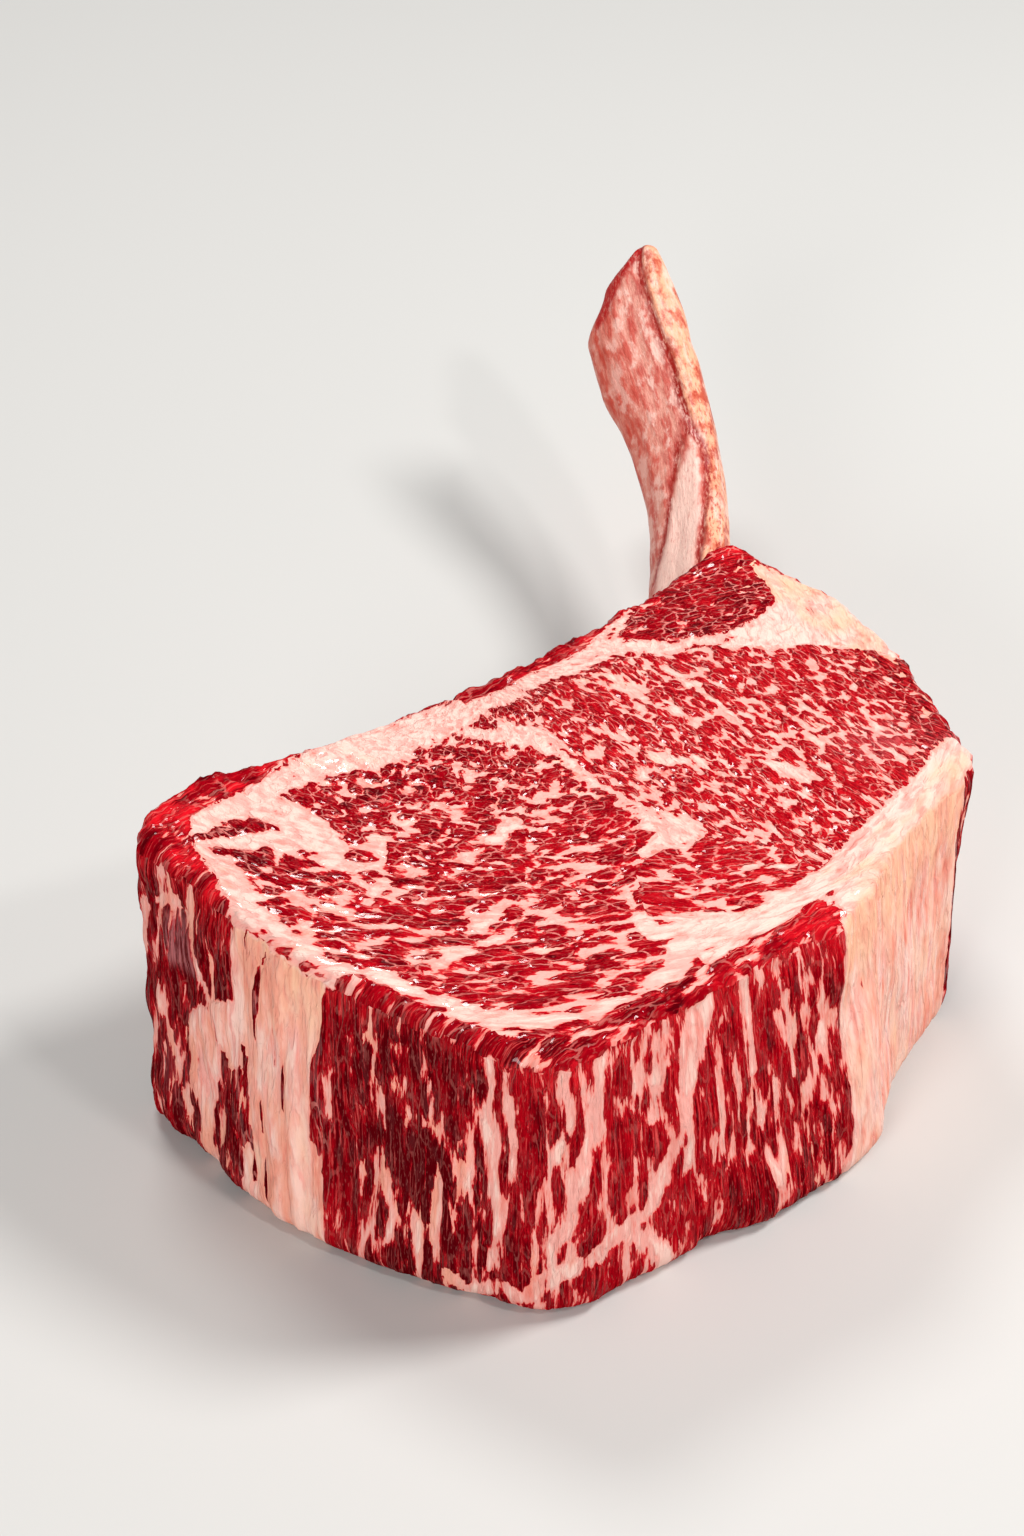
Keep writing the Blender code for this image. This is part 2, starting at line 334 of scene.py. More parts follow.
def loopGap(places, loop):
    # gap to a closed outline: below zero inside it
    closed = [(*p, 0.0) for p in loop] + [(*loop[0], 0.0)]
    gap = lineGap(places, closed)
    return np.where(insideLoop(places, loop), -gap, gap)


# The cut face, in millimetres. Lines are x, y, half width; loops are x, y.
faceFat = {
    "backBand": [(-62, 54, 5), (-50, 54, 5), (-40, 52, 7), (-30, 50, 8), (-20, 48, 7.5), (-10, 47.5, 6),
                 (0, 47, 4), (10, 46, 3.6), (20, 46, 3.6), (30, 45, 4), (40, 45.5, 4.5), (46, 41, 3),
                 (52, 35.5, 2.4), (60, 30.5, 2), (70, 28, 2), (80, 28, 4)],
    "aboveSmallMuscle": [(32, 48, 2), (42, 51, 2.4), (52, 54, 1.6), (60, 57.5, 0.6)],
    "chineFat": [(-88, 53, 4), (-78, 54, 3.5), (-66, 52, 5), (-63, 42, 4.5), (-62, 30, 4), (-66, 22, 3)],
    "leftRim": [(-90, 48, 5), (-88, 36, 5), (-91, 22, 3.5), (-92, 8, 2.6), (-90, -6, 2.4), (-83.5, -20, 2.2),
                (-80, -34, 2.3), (-76, -43, 2.5), (-70, -51, 2.2), (-60, -56, 1.8), (-46, -58.5, 1.2),
                (-33, -57.5, 2.4), (-24, -52, 5), (-12, -56, 4.5), (0, -58.5, 3)],
    "chineBranch": [(-84, 48, 2.5), (-74, 38, 3.5), (-66, 33, 4)],
    "seamTop": [(-12, 41, 1.6), (-4, 34, 5), (1, 28, 4.2), (1, 20, 2), (-1, 10, 1.5), (1, 0, 1.3),
                (1, -8, 1.2), (-1, -16, 3.4), (4, -22, 4.2), (-4, -22, 3.4), (-11, -23.5, 1.4),
                (-20, -26, 0.4)],
    "seamFoot": [(-20, -26, 0.5), (-26, -36, 1.2), (-28, -46, 3), (-20, -50, 5)],
    "capPatchA": [(-36, 5, 2), (-33, 3, 3), (-27, 5, 3)],
    "capPatchB": [(-66, 18, 2.0), (-58, 14, 1.5), (-54, 19, 1.3)],
    "capPatchC": [(-60, -19, 1.2), (-52, -18, 2.4), (-46, -16, 1.4)],
    "capPatchD": [(-78, -24, 0.6), (-64, -23, 1.6), (-54, -26, 1)],
    "capPatchE": [(-70, 4, 0.8), (-62, 8, 1.0)],
    "eyePatchA": [(34, -14, 1), (36, -20, 2.2), (37, -27, 1.4)],
    "eyePatchB": [(16, 5, 1.2), (18, 0, 1.8), (23, -3, 1)],
    "eyeVeinA": [(31, 36, 1.1), (31, 22, 1.4), (33, 8, 1)],
    "eyeVeinB": [(44, 30, 0.9), (43, 14, 1.2), (40, -4, 0.8)],
    "rightEdge": [(92, 44, 3), (94, 30, 4), (94, 12, 4), (91, 0, 2.6), (90, -5, 0.8)],
}
faceFatLoops = {
    "rightFat": [(60, 27), (70, 28.5), (80, 30), (86, 34), (89, 41), (96, 42), (98, 20), (95, 4), (88, 2),
                 (83, 8), (77, 14), (70, 17), (65, 22)],
    "capFat": [(-27, -44), (-20, -46), (-8, -52.5), (3, -55), (15, -52.5), (25, -49.5), (45, -45.5),
               (55, -43), (63, -40), (74, -37), (80, -46), (60, -60), (20, -80), (10, -66), (12, -61),
               (-26, -61)],
}
faceLean = {
    "chineIslandA": [(-84, 49, 0.8), (-77, 46, 1.8), (-71, 43, 1.6)],
    "chineIslandB": [(-82, 40, 1), (-79, 33, 2), (-76, 35, 1.4)],
    "chineIslandC": [(-80, 27, 1.6), (-74, 25, 2), (-70, 24, 1)],
    "chineIslandD": [(-57, 50, 1), (-55, 44, 2.2), (-50, 42, 2)],
    "backIslandA": [(-6, 41, 1), (-4, 38, 1.4)],
    "backIslandB": [(0, 43, 1.2), (6, 42, 1.2)],
    "backIslandC": [(12, 43.4, 0.9), (22, 43, 0.8)],
    "capBack": [(-50, 36, 2), (-38, 33, 3.5), (-26, 32, 3)],
    "capTongue": [(-19, 38, 1.2), (-14, 30, 2.2), (-9, 22, 1.6)],
}
backStripLoop = [(-3, 49.5), (10, 49), (24, 48.5), (34, 48.7), (41, 50.6), (51, 53.4), (62, 57), (62, 66),
                 (-3, 60)]
smallMuscleLoop = [(44, 45), (50, 49.5), (57, 53.5), (64, 57), (75, 62), (100, 64), (97, 52), (89, 46),
                   (89, 41), (85, 34), (76, 30), (64, 31), (57, 36), (50, 41)]
chineRimLoop = [(-110, 75), (-110, 20), (-93.5, 24), (-90.5, 33), (-88, 42), (-86, 50), (-80, 56), (-74, 57),
                (-60, 57.5), (-50, 59.5), (-40, 61), (-44, 75)]
frontLipLoop = [(-96, -10), (-89.5, -12), (-86.8, -20), (-84.8, -27), (-83.4, -32), (-81.8, -38),
                (-79.8, -44), (-77.6, -49.5), (-74, -55), (-68, -59), (-56, -60.5), (-44, -61), (-30, -61),
                (-10, -62), (2, -61.5), (8, -60.5), (11, -72), (-40, -90), (-96, -80)]
eyeLoop = [(3, 26), (10, 38), (20, 41), (32, 39), (46, 37), (60, 28), (66, 22), (74, 17), (84, 8), (91, -4),
           (92, -40), (74, -38), (63, -41), (45, -46), (25, -50), (3, -55.5), (-10, -53), (-27, -42),
           (-17, -27), (-4, -22), (1, -8), (0, 10)]
lobeLoop = [(-10, -53), (-27, -42), (-17, -27), (-8, -23), (4, -27), (12, -34), (16, -44), (16, -54),
            (3, -56)]
# Muscles with a tissue of their own, and how soft their borders are.
faceMuscles = {
    "eye": (eyeLoop, 1.2),
    "oval": (smallMuscleLoop, 0.7),
    "strip": (backStripLoop, 0.6),
    "rim": (chineRimLoop, 0.8),
    "lip": (frontLipLoop, 0.8),
}
# Shares of the cut face: middle value, and how far it wanders from place to place.
faceShares = {
    "fat": (0.345, 0.16),
    "eyeFat": (0.375, 0.13),
    "eyeEndFat": (0.06, 0.0),
    "islandFat": (0.12, 0.0),
    "ovalFat": (0.07, 0.10),
    "stripFat": (0.08, 0.0),
    "rimFat": (0.14, 0.10),
    "lipFat": (0.22, 0.10),
    "cream": (0.25, 0.20),
    "dark": (0.13, 0.22),
}
# Spots with more or less of a share: x, y, reach in x, reach in y, amount.
faceSpots = {
    "fatAtChine": (-62, 12, 14, 14, 0.08),
    "leanInCap": (-50, 5, 10, 10, -0.10),
    "fatInEye": (40, -8, 16, 18, 0.10),
    "fatByTail": (64, -21, 13, 12, 0.15),
    "darkCapSide": (93, -9, 5, 7, 0.5),
    "darkCapBack": (-40, 34, 18, 7, 0.3),
    "darkChine": (-86, 40, 15, 17, 0.45),
    "brightNub": (89, 55, 6, 5, 0.4),
    "silverByTail": (62, -27, 10, 7, 0.3),
    "silverTail": (73, -40, 6, 4, 0.3),
}
# Darkness and brightness that each muscle adds, and the fibre share of flesh and of its edges.
faceTints = {
    "dark": {"oval": 0.12, "eye": 0.06, "edges": 0.08, "eyeEnd": 0.54},
    "bright": {"all": 0.42, "eye": 0.19, "oval": 0.03, "lip": 0.3, "rim": 0.5, "strip": 0.1},
    "fibre": (0.15, 0.55),
    "cream": {"right": 0.45, "capFat": 0.35},
}
# Bands of fat and islands of muscle: fullness, how far their borders wander, softness.
faceEdges = {
    "bands": (1.35, 1.7, 2.0),
    "pads": (1.5, 0.9, 1.4),
    "islands": (1.0, 1.6, 1.0),
}


def seamShare(gap, soft):
    return smooth((soft - gap) / (2.0 * soft))


def faceFields(places, shift):
    # fat share, tints and fibre share of a cut face at its x, y places
    x = places[:, 0]
    y = places[:, 1]
    shifted = np.hstack([places, np.full((len(places), 1), shift)])
    wide = noiseAt(shifted, 17.0, (1.7, 6.1, 3.3))
    small = noiseAt(shifted, 5.5, (8.2, 0.4, 5.2))
    wander = 0.9 * small
    eye, oval, strip, rim, lip = (
        ramp(loopGap(places, loop) + wander, soft, -soft) for loop, soft in faceMuscles.values()
    )
    edges = np.maximum(np.maximum(rim, lip), strip)

    def share(name):
        middle, change = faceShares[name]
        return middle + change * wide

    def spot(name):
        middleX, middleY, reachX, reachY, amount = faceSpots[name]
        return amount * np.exp(-((x - middleX) / reachX) ** 2 - ((y - middleY) / reachY) ** 2)

    fat = share("fat") + spot("fatAtChine") + spot("leanInCap")
    eyeEnd = ramp(x - 0.35 * y + 3.0 * small, 75, 89)
    eyeFat = share("eyeFat") + spot("fatInEye")
    eyeFat += (share("eyeEndFat") - eyeFat) * eyeEnd
    eyeFat += spot("fatByTail")
    fat += (eyeFat - fat) * eye
    full, roam, soft = faceEdges["bands"]
    for line in faceFat.values():
        fat = np.maximum(fat, full * seamShare(lineGap(places, line) + roam * wander, soft))
    full, roam, soft = faceEdges["pads"]
    for loop in faceFatLoops.values():
        fat = np.maximum(fat, full * seamShare(loopGap(places, loop) + roam * wander, soft))
    full, roam, soft = faceEdges["islands"]
    for line in faceLean.values():
        fat += (share("islandFat") - fat) * full * seamShare(lineGap(places, line) + roam * wander, soft)
    for name, inside in (("ovalFat", oval), ("stripFat", strip), ("rimFat", rim), ("lipFat", lip)):
        fat += (share(name) - fat) * inside

    cream = share("cream") + faceTints["cream"]["right"] * ramp(x, 78, 90) * ramp(y, -8, 6)
    capFat = ramp(loopGap(places, faceFatLoops["capFat"]), 2, -8)
    cream += faceTints["cream"]["capFat"] * capFat * ramp(x, -5, 30)
    tint = faceTints["dark"]
    dark = share("dark") + tint["oval"] * oval + tint["eye"] * eye + tint["edges"] * edges
    dark += tint["eyeEnd"] * eye * eyeEnd + spot("darkCapSide") + spot("darkCapBack")
    dark += spot("darkChine") * (1.0 - rim)
    tint = faceTints["bright"]
    bright = tint["all"] + tint["eye"] * eye + tint["oval"] * oval + tint["strip"] * strip
    bright += tint["lip"] * lip * ramp(x, -20, 2) + tint["rim"] * rim * ramp(small, -0.2, 0.3)
    bright += spot("brightNub")
    silverAndSheen = spot("silverByTail") + spot("silverTail")
    flesh, edging = faceTints["fibre"]
    return packFields(fat, cream, dark, bright, silverAndSheen, flesh + edging * edges)


# How the pattern runs in each muscle: centre and radius of its curve, and how much longer
# than wide its flecks are, along and across the fibres.
fibreCourses = {
    "capCentre": (10, 60),
    "capRadius": 78.0,
    "cap": (1.6, 1.1),
    "eye": (1.38, 1.42),
    "lobeCentre": (30, 5),
    "lobeRadius": 48.0,
    "lobeEdge": 330,
    "lobe": (1.6, 1.15),
    "ovalTurn": 20.0,
    "oval": (1.4, 1.2),
    "edging": 3.2,
    "side": (4.2, 1.05),
    "apart": 300,  # keeps the muscles from sharing one pattern
}


def faceFlows(x, y, shift):
    # along and across the fibres of each muscle of a cut face, in millimetres
    course = fibreCourses
    apart = course["apart"]
    capX, capY = course["capCentre"]
    lobeX, lobeY = course["lobeCentre"]
    capTurn = np.arctan2(x - capX, capY - y)
    lobeTurn = np.arctan2(y - lobeY, lobeX - x)
    turn = math.radians(course["ovalTurn"])
    ovalX = x * math.cos(turn) - y * math.sin(turn)
    ovalY = x * math.sin(turn) + y * math.cos(turn)
    along = {
        "cap": capTurn * course["capRadius"] / course["cap"][0],
        "eye": y / course["eye"][0] + apart,
        "lobe": lobeTurn * course["lobeRadius"] / course["lobe"][0] + apart,
        "oval": ovalX / course["oval"][0] + 2 * apart,
        "edging": x / course["edging"] + 3 * apart,
    }
    across = {
        "cap": course["cap"][1] * np.hypot(x - capX, y - capY),
        "eye": course["eye"][1] * x + apart,
        "lobe": course["lobeEdge"] - course["lobe"][1] * np.hypot(x - lobeX, y - lobeY),
        "oval": course["oval"][1] * ovalY + 2 * apart,
        "edging": y + 3 * apart,
    }
    return {name: np.stack([along[name] + shift, across[name] + shift], axis=1) for name in along}


def faceMuscle(places):
    # which muscle's fibres each place of a cut face has
    names = np.full(len(places), "cap", dtype="U8")
    names[insideLoop(places, eyeLoop)] = "eye"
    names[insideLoop(places, lobeLoop)] = "lobe"
    names[insideLoop(places, smallMuscleLoop)] = "oval"
    for loop in (backStripLoop, chineRimLoop, frontLipLoop):
        names[insideLoop(places, loop)] = "edging"
    return names


# The sides, in millimetres: s around the middle outline, z up.
# The dark share is partly painted shade: it is set higher on the sides than on the top, most of all on the
# front-left.
sideShares = {  # s, fat share, cream, dark, bright
    0: (0.18, 0.2, 0.40, 0.35),
    30: (0.16, 0.2, 0.42, 0.35),
    60: (0.14, 0.3, 0.34, 0.4),
    90: (0.10, 0.3, 0.25, 0.5),
    98: (0.20, 0.3, 0.55, 0.35),
    118: (0.18, 0.2, 0.70, 0.2),
    138: (0.28, 0.2, 0.40, 0.4),
    160: (0.29, 0.2, 0.18, 0.55),
    190: (0.27, 0.2, 0.18, 0.55),
    210: (0.29, 0.3, 0.24, 0.48),
    230: (0.28, 0.3, 0.26, 0.45),
    296: (0.22, 0.3, 0.4, 0.3),
    318: (0.22, 0.3, 0.4, 0.3),
    344: (0.32, 0.4, 0.35, 0.3),
    404: (0.26, 0.4, 0.35, 0.3),
    450: (0.22, 0.4, 0.4, 0.3),
    510: (0.30, 0.4, 0.35, 0.3),
    560: (0.26, 0.3, 0.4, 0.3),
    577: (0.22, 0.2, 0.5, 0.2),
}
sideFatLoops = {
    "fatBand": [(62, 80), (60, 52), (52, 47), (53, 38), (59, 33), (64, 38), (66, 20), (62, 6), (62, -9),
                (90, -9), (89, 12), (90, 22), (86, 30), (87, 52), (92, 64), (95, 80)],
    "besideWedge": [(51, 46), (54, 36), (54, 30), (51, 20), (50, 8), (52, -9), (43, -9), (45, 12), (42, 24),
                    (40, 34), (45, 42)],
    "fatCap": [(232.5, 80), (232.5, 60), (231.5, 40), (231, 12), (228, 4), (231, -9), (297, -9), (296, 30),
               (296.5, 80)],
    "capSideFat": [(347, 80), (349, 50), (345, 30), (350, -9), (398, -9), (401, 30), (397, 55), (404, 80)],
    "backFat": [(505, 80), (512, 58), (532, 52), (556, 60), (565, 80)],
    "underRibFat": [(420, 22), (450, 14), (480, 17), (510, 12), (540, 16), (556, 22), (556, 14), (520, 3),
                    (470, 5), (430, 8)],
}
sideFatLines = {
    "lobeEdge": [(45, 72, 0.8), (46, 60, 0.7), (47, 52, 0.9), (51, 47, 1.4)],
    "chineStreakA": [(31, 62, 1), (38, 66, 1.6), (45, 64, 1)],
    "chineStreakB": [(10, 8, 0.8), (13, 30, 1.2), (16, 44, 1)],
    "chineStreakC": [(30, 40, 0.8), (36, 26, 1.1), (40, 12, 0.8)],
    "chinePatch": [(19, 40, 2.2), (22, 50, 3.2), (26, 58, 1.6)],
    "wispA": [(103, 60, 0.47), (105, 50, 1.17), (106, 41, 0.39)],
    "wispB": [(112, 57, 0.39), (113, 48, 0.94), (111, 41, 0.31)],
    "wispC": [(97, 62, 0.47), (98, 50, 0.7), (97, 40, 0.39)],
    "wispD": [(107, 27, 0.31), (109, 19, 1.4), (107, 11, 0.39)],
    "wispE": [(113, 24, 0.23), (114.5, 17, 1.72), (116, 10, 0.31)],
    "wispF": [(120, 38, 0.47), (121, 28, 1.4), (119, 19, 1.87), (121, 10, 0.39)],
    "wispG": [(104, 36, 0.23), (103, 30, 0.78), (104, 23, 0.23)],
    "wispH": [(117, 62, 0.31), (119, 54, 1.01), (117, 46, 0.39)],
    "wispI": [(126, 46, 0.31), (127, 37, 0.94), (126, 28, 0.31)],
    "streakA": [(134, 72, 1.2), (133, 55, 1.8), (134, 40, 2.2), (136, 26, 1.4), (134, 12, 1)],
    "streakB": [(137.5, 70, 0.8), (139, 50, 1.0), (138, 30, 0.8)],
    "streakC": [(150, 74, 0.8), (152, 60, 1), (149, 48, 0.7)],
    "streakD": [(168, 73, 1), (171, 62, 1.2), (170, 50, 0.6)],
    "diagonal": [(161, 76, 2.2), (158, 64, 2.2), (158, 52, 2.6), (153, 42, 2.2), (151, 30, 1.3),
                 (148, 22, 1.6), (146, 10, 1.6)],
    "footSeam": [(123, 8, 1.4), (129, 3, 2.4), (136, 8, 2.2), (142, 6, 2), (146, 12, 2.6), (153, 15, 2.6),
                 (160, 19, 3), (167, 20, 3), (173, 20.5, 2), (177, 28, 2.6), (181, 38, 1.7),
                 (184, 50, 2.2), (187, 61, 4), (190, 70, 3.6), (193, 77, 2)],
    "footBranch": [(166, 20, 2.6), (172, 13, 2.2), (177, 4, 2.8), (176, -3, 2)],
    "streakE": [(176, 74, 2), (178, 60, 2), (176, 46, 1.4)],
    "streakF": [(184, 50, 1), (185, 36, 1.7), (183, 26, 0.8)],
    "streakG": [(203, 74, 1.4), (203.5, 60, 1.8), (204, 46, 1.5)],
    "streakH": [(206.5, 44, 0.6), (205.5, 34, 1), (206.5, 22, 1), (208, 12, 1.4)],
    "streakI": [(210, 40, 0.9), (210.5, 24, 1.1), (210, 6, 0.8)],
    "streakJ": [(214, 66, 0.6), (216, 52, 0.9), (215, 40, 0.5)],
    "streakK": [(224, 50, 1.5), (224, 40, 1.5), (223.5, 28, 0.7)],
    "streakL": [(219, 74, 0.7), (220, 60, 0.9), (219, 30, 0.4)],
    "streakM": [(193, 46, 0.5), (194, 36, 1.2), (193, 26, 0.7)],
    "intercostalA": [(425, 62, 1.6), (460, 58, 1.2), (500, 60, 1.8)],
    "intercostalB": [(510, 30, 1.6), (540, 36, 1.4), (570, 30, 1.6)],
}
sideLeanLines = {
    "bandCutA": [(73.5, 72, 0.25), (70.5, 66, 0.8), (69.5, 58, 0.8), (69, 50, 0.3), (69.5, 42, 0.25)],
    "bandCutB": [(66.5, 76, 0.3), (65.6, 66, 0.4)],
    "bandCutC": [(69.8, 40, 0.25), (70.6, 30, 0.3), (71.4, 20, 0.45), (71, 8, 0.5), (71.2, -4, 0.4)],
    "bandCutD": [(79, 52, 0.15), (78.6, 40, 0.35), (78, 30, 0.2)],
    "bandCutF": [(75.4, 64, 0.15), (75, 52, 0.3), (75.5, 44, 0.15)],
    "bandCutE": [(63.5, 42, 0.9), (66, 30, 0.9), (67, 18, 0.7), (67, 8, 0.2)],
    "borderA": [(92, 70, 1.8), (88.5, 50, 1.4), (88, 34, 1.6), (91.5, 20, 2.4), (92, 8, 2.4)],
    "capCreaseA": [(252, 70, 0.1), (255, 66, 0.3)],
    "tailEdge": [(297.5, 70, 1), (297, 40, 1.2), (297, 10, 1.4)],
    "fatCapEdge": [(230.6, 74, 1.2), (230.2, 50, 0.9), (230.4, 20, 1.0)],
}
# painted sheen: a patch of grey-pink silver colour on the chine side
paintedSheenPatch = [(33, 50), (34, 58), (40, 66), (46, 62), (47, 50), (41, 46)]

# Noise of the sides: size around and up, seed.
sideNoise = {
    "wide": ((14.0, 26.0, 1.0), (4.4, 2.9, 0.3)),
    "small": ((3.0, 12.0, 1.0), (7.5, 1.4, 2.3)),
    "wisps": ((1.3, 10.0, 1.0), (0.6, 9.1, 6.2)),
}
# Stretches of the sides, as distances around, and what each adds.
sideSpans = {
    "wedge": (34, 42, 58, 62),
    "fatBand": (60, 64, 88, 92),
    "leanRim": (92, 98, 144, 156),
    "fatCorner": (150, 170, 190, 205),
    "darkFoot": (180, 196, 226, 232),
    "fatCap": (230, 234, 295, 299),
}
sideTints = {
    "wander": {"fat": 0.16, "dark": 0.3, "small": 0.8, "wisps": 1.3},
    "darkFoot": {"fat": -0.14, "dark": 0.4, "height": (26, 12)},
    "fatCorner": {"fat": 0.10, "height": (52, 70)},
    "leanRim": {"fat": -0.22, "height": (62, 70)},
    "upperEdge": {"bright": 0.3, "height": (60, 74)},
    "fatBand": {"cream": 0.15, "dark": 0.30, "lower": 0.25, "height": (84, 40)},
    "fatCap": {"cream": 0.25, "dark": 0.26},
    "creamTop": {"cream": 0.45, "height": (44, 72)},
    "wedge": {"dark": 0.3},
    # silver on the sides is painted sheen, in a patch and as a haze
    "silverAndSheen": {"patch": 0.55, "haze": 0.12},
    "fibre": (1.0, -0.7),
}


def sideFields(s, z):
    # the same for the sides, at a distance s around and a height z
    tint = sideTints
    places = np.stack([s, z], axis=1)
    rows = np.hstack([places, np.zeros((len(s), 1))])
    wide, small, wisps = (noiseAt(rows, size, seed) for size, seed in sideNoise.values())
    wander = tint["wander"]["small"] * small + tint["wander"]["wisps"] * wisps
    span = {name: within(s, limits) for name, limits in sideSpans.items()}

    def rise(name):
        return ramp(z, *tint[name]["height"])

    stops = sorted(sideShares)
    table = np.array([sideShares[stop] for stop in stops])
    # the dark share from this table is partly painted shade of the sides
    fat, cream, dark, bright = (np.interp(s, stops, table[:, k]) for k in range(4))
    fat = fat + tint["wander"]["fat"] * wide
    dark = dark + tint["wander"]["dark"] * wide
    bright += tint["upperEdge"]["bright"] * rise("upperEdge")
    for name in ("darkFoot", "fatCorner", "leanRim"):
        fat += tint[name]["fat"] * rise(name) * span[name]
    dark += tint["darkFoot"]["dark"] * rise("darkFoot") * span["darkFoot"]
    fatter = np.zeros(len(s))
    for loop in sideFatLoops.values():
        fatter = np.maximum(fatter, seamShare(loopGap(places, loop) + 0.8 * wander, 1.0))
    for line in sideFatLines.values():
        fatter = np.maximum(fatter, 0.80 * seamShare(lineGap(places, line) + 0.8 * wander, 1.0))
    fat = np.maximum(fat, 1.5 * fatter)
    for line in sideLeanLines.values():
        fat += (0.05 - fat) * seamShare(lineGap(places, line) + 0.3 * wander, 0.5)
    band, cap = span["fatBand"], span["fatCap"]
    cream = cream + tint["creamTop"]["cream"] * (band + cap) * rise("creamTop")
    cream += tint["fatBand"]["cream"] * band + tint["fatCap"]["cream"] * cap
    dark += (tint["fatBand"]["lower"] * rise("fatBand") + tint["fatBand"]["dark"]) * band
    dark += tint["fatCap"]["dark"] * cap + tint["wedge"]["dark"] * span["wedge"]
    # painted sheen: the silver colour in a patch on the chine side, and as a haze over the stretch before
    # the fat band
    silverAndSheen = tint["silverAndSheen"]["patch"] * ramp(loopGap(places, paintedSheenPatch) + 2.0 * wander, 0.5, -3.5)
    silverAndSheen += tint["silverAndSheen"]["haze"] * ramp(s, 70, 60) * ramp(wide, 0.1, 0.5)
    strong, fatty = tint["fibre"]
    return packFields(fat, cream, dark, bright, silverAndSheen, strong + fatty * (cap + band))


def packFields(fat, cream, dark, bright, silverAndSheen, fibre):
    tissue = np.stack([fat, cream, dark], axis=1)
    return {"tissue": tissue, "tint": np.stack([bright, silverAndSheen, fibre], axis=1)}


def gridInside(loop, step):
    low = loop.min(axis=0)
    high = loop.max(axis=0)
    rows = np.arange(low[1], high[1], step * math.sqrt(3.0) / 2.0)
    points = []
    for row, y in enumerate(rows):
        across = np.arange(low[0] + (row % 2) * step / 2.0, high[0], step)
        points.append(np.stack([across, np.full(len(across), y)], axis=1))
    points = np.concatenate(points)
    points = points[insideLoop(points, loop)]
    gaps = np.full(len(points), 1.0e6)
    for place in loop:
        gaps = np.minimum(gaps, ((points - place) ** 2).sum(axis=1))
    return points[gaps > (meatForm["gridClearance"] * step) ** 2]


def fillFace(rim, step):
    # triangles between the rim and an even grid inside it
    inner = gridInside(rim, step)
    count = len(rim)
    points = [Vector(p) for p in np.concatenate([rim, inner]).tolist()]
    edges = [(i, (i + 1) % count) for i in range(count)]
    meshed = geometry.delaunay_2d_cdt(points, edges, [], 1, 0.00001)
    order = [source[0] for source in meshed[3]]
    return inner, [[order[i] for i in triangle] for triangle in meshed[2]]


def makeMeat():
    form = meatForm
    rings = sideLevels()
    around = aroundLengths()
    count = len(around)
    places = []
    for height, inset in rings:
        line = outlineAt(height / form["thickness"])
        push = sideRelief(line, height) - inset
        push += strandRelief(around, height) * ramp(height, *form["strandsFrom"])
        line = line + outlineNormals(line) * push[:, None]
        places.append(np.hstack([line, np.full((count, 1), height)]))
    places[-1][:, 2] += faceRelief(places[-1][:, :2])
    faces = ringFaces(len(rings), count)

    # the upper and the lower face, which share the outermost points with the sides
    sideCount = len(rings) * count
    rimStart = sideCount - count
    topInner, topFaces = fillFace(places[-1][:, :2].copy(), form["faceStep"])
    baseInner, baseFaces = fillFace(places[0][:, :2].copy(), form["baseStep"])
    baseStart = sideCount + len(topInner)
    places.append(np.hstack([topInner, form["thickness"] + faceRelief(topInner)[:, None]]))
    places.append(np.hstack([baseInner, np.zeros((len(baseInner), 1))]))
    for face in topFaces:
        faces.append(tuple(rimStart + i if i < count else sideCount + i - count for i in face))
    for face in baseFaces:
        faces.append(tuple(i if i < count else baseStart + i - count for i in reversed(face)))
    places = np.concatenate(places)

    # lumps where muscle lies over the upper rim
    tops = faceFields(places[:baseStart, :2], 0.0)
    flesh, edging = faceTints["fibre"]
    muscled = (tops["tint"][:, 2] - flesh) / edging * ramp(places[:baseStart, 2], *form["rimLumpsFrom"])
    flat = np.hstack([places[:baseStart, :2], np.zeros((baseStart, 1))])
    lumps = sum(depth * noiseAt(flat, size, seed) for depth, size, seed in form["rimLumps"])
    places[:baseStart, 2] += muscled * lumps
    mesh = bpy.data.meshes.new("raw_ribeye_meat")
    mesh.from_pydata((places * mm).tolist(), [], faces)
    print("meat meshed")

    overRim = layTissue(mesh, places, tops, around, len(rings), baseStart)
    layFibres(mesh, places, overRim, around, len(rings), len(topFaces))
    mesh.shade_smooth()
    print("fibres and fat laid out")
    return placed("raw_ribeye_meat", mesh)


def layTissue(mesh, places, tops, around, ringCount, baseStart):
    # tissue at each point: the side's own, the cut face's over the rounded upper edge
    form = meatForm
    row = np.stack([around, 0 * around, 0 * around], axis=1)
    rim = form["rimHeight"] + form["rimWander"] * noiseAt(row, form["rimWanderSize"], form["rimSeed"])
    rim = np.tile(rim, ringCount)
    heights = places[:len(rim), 2]
    overRim = np.ones(len(places))
    overRim[:len(rim)] = ramp(heights, rim - form["rimBlend"], rim + form["rimBlend"])
    sides = sideFields(np.tile(around, ringCount), heights)
    bases = faceFields(places[baseStart:, :2] * form["baseShrink"], form["baseShift"])
    for name in ("tissue", "tint"):
        values = np.concatenate([tops[name], bases[name]])
        values[:len(rim)] = sides[name] + (values[:len(rim)] - sides[name]) * overRim[:len(rim), None]
        addLayer(mesh, name, values)
    return overRim


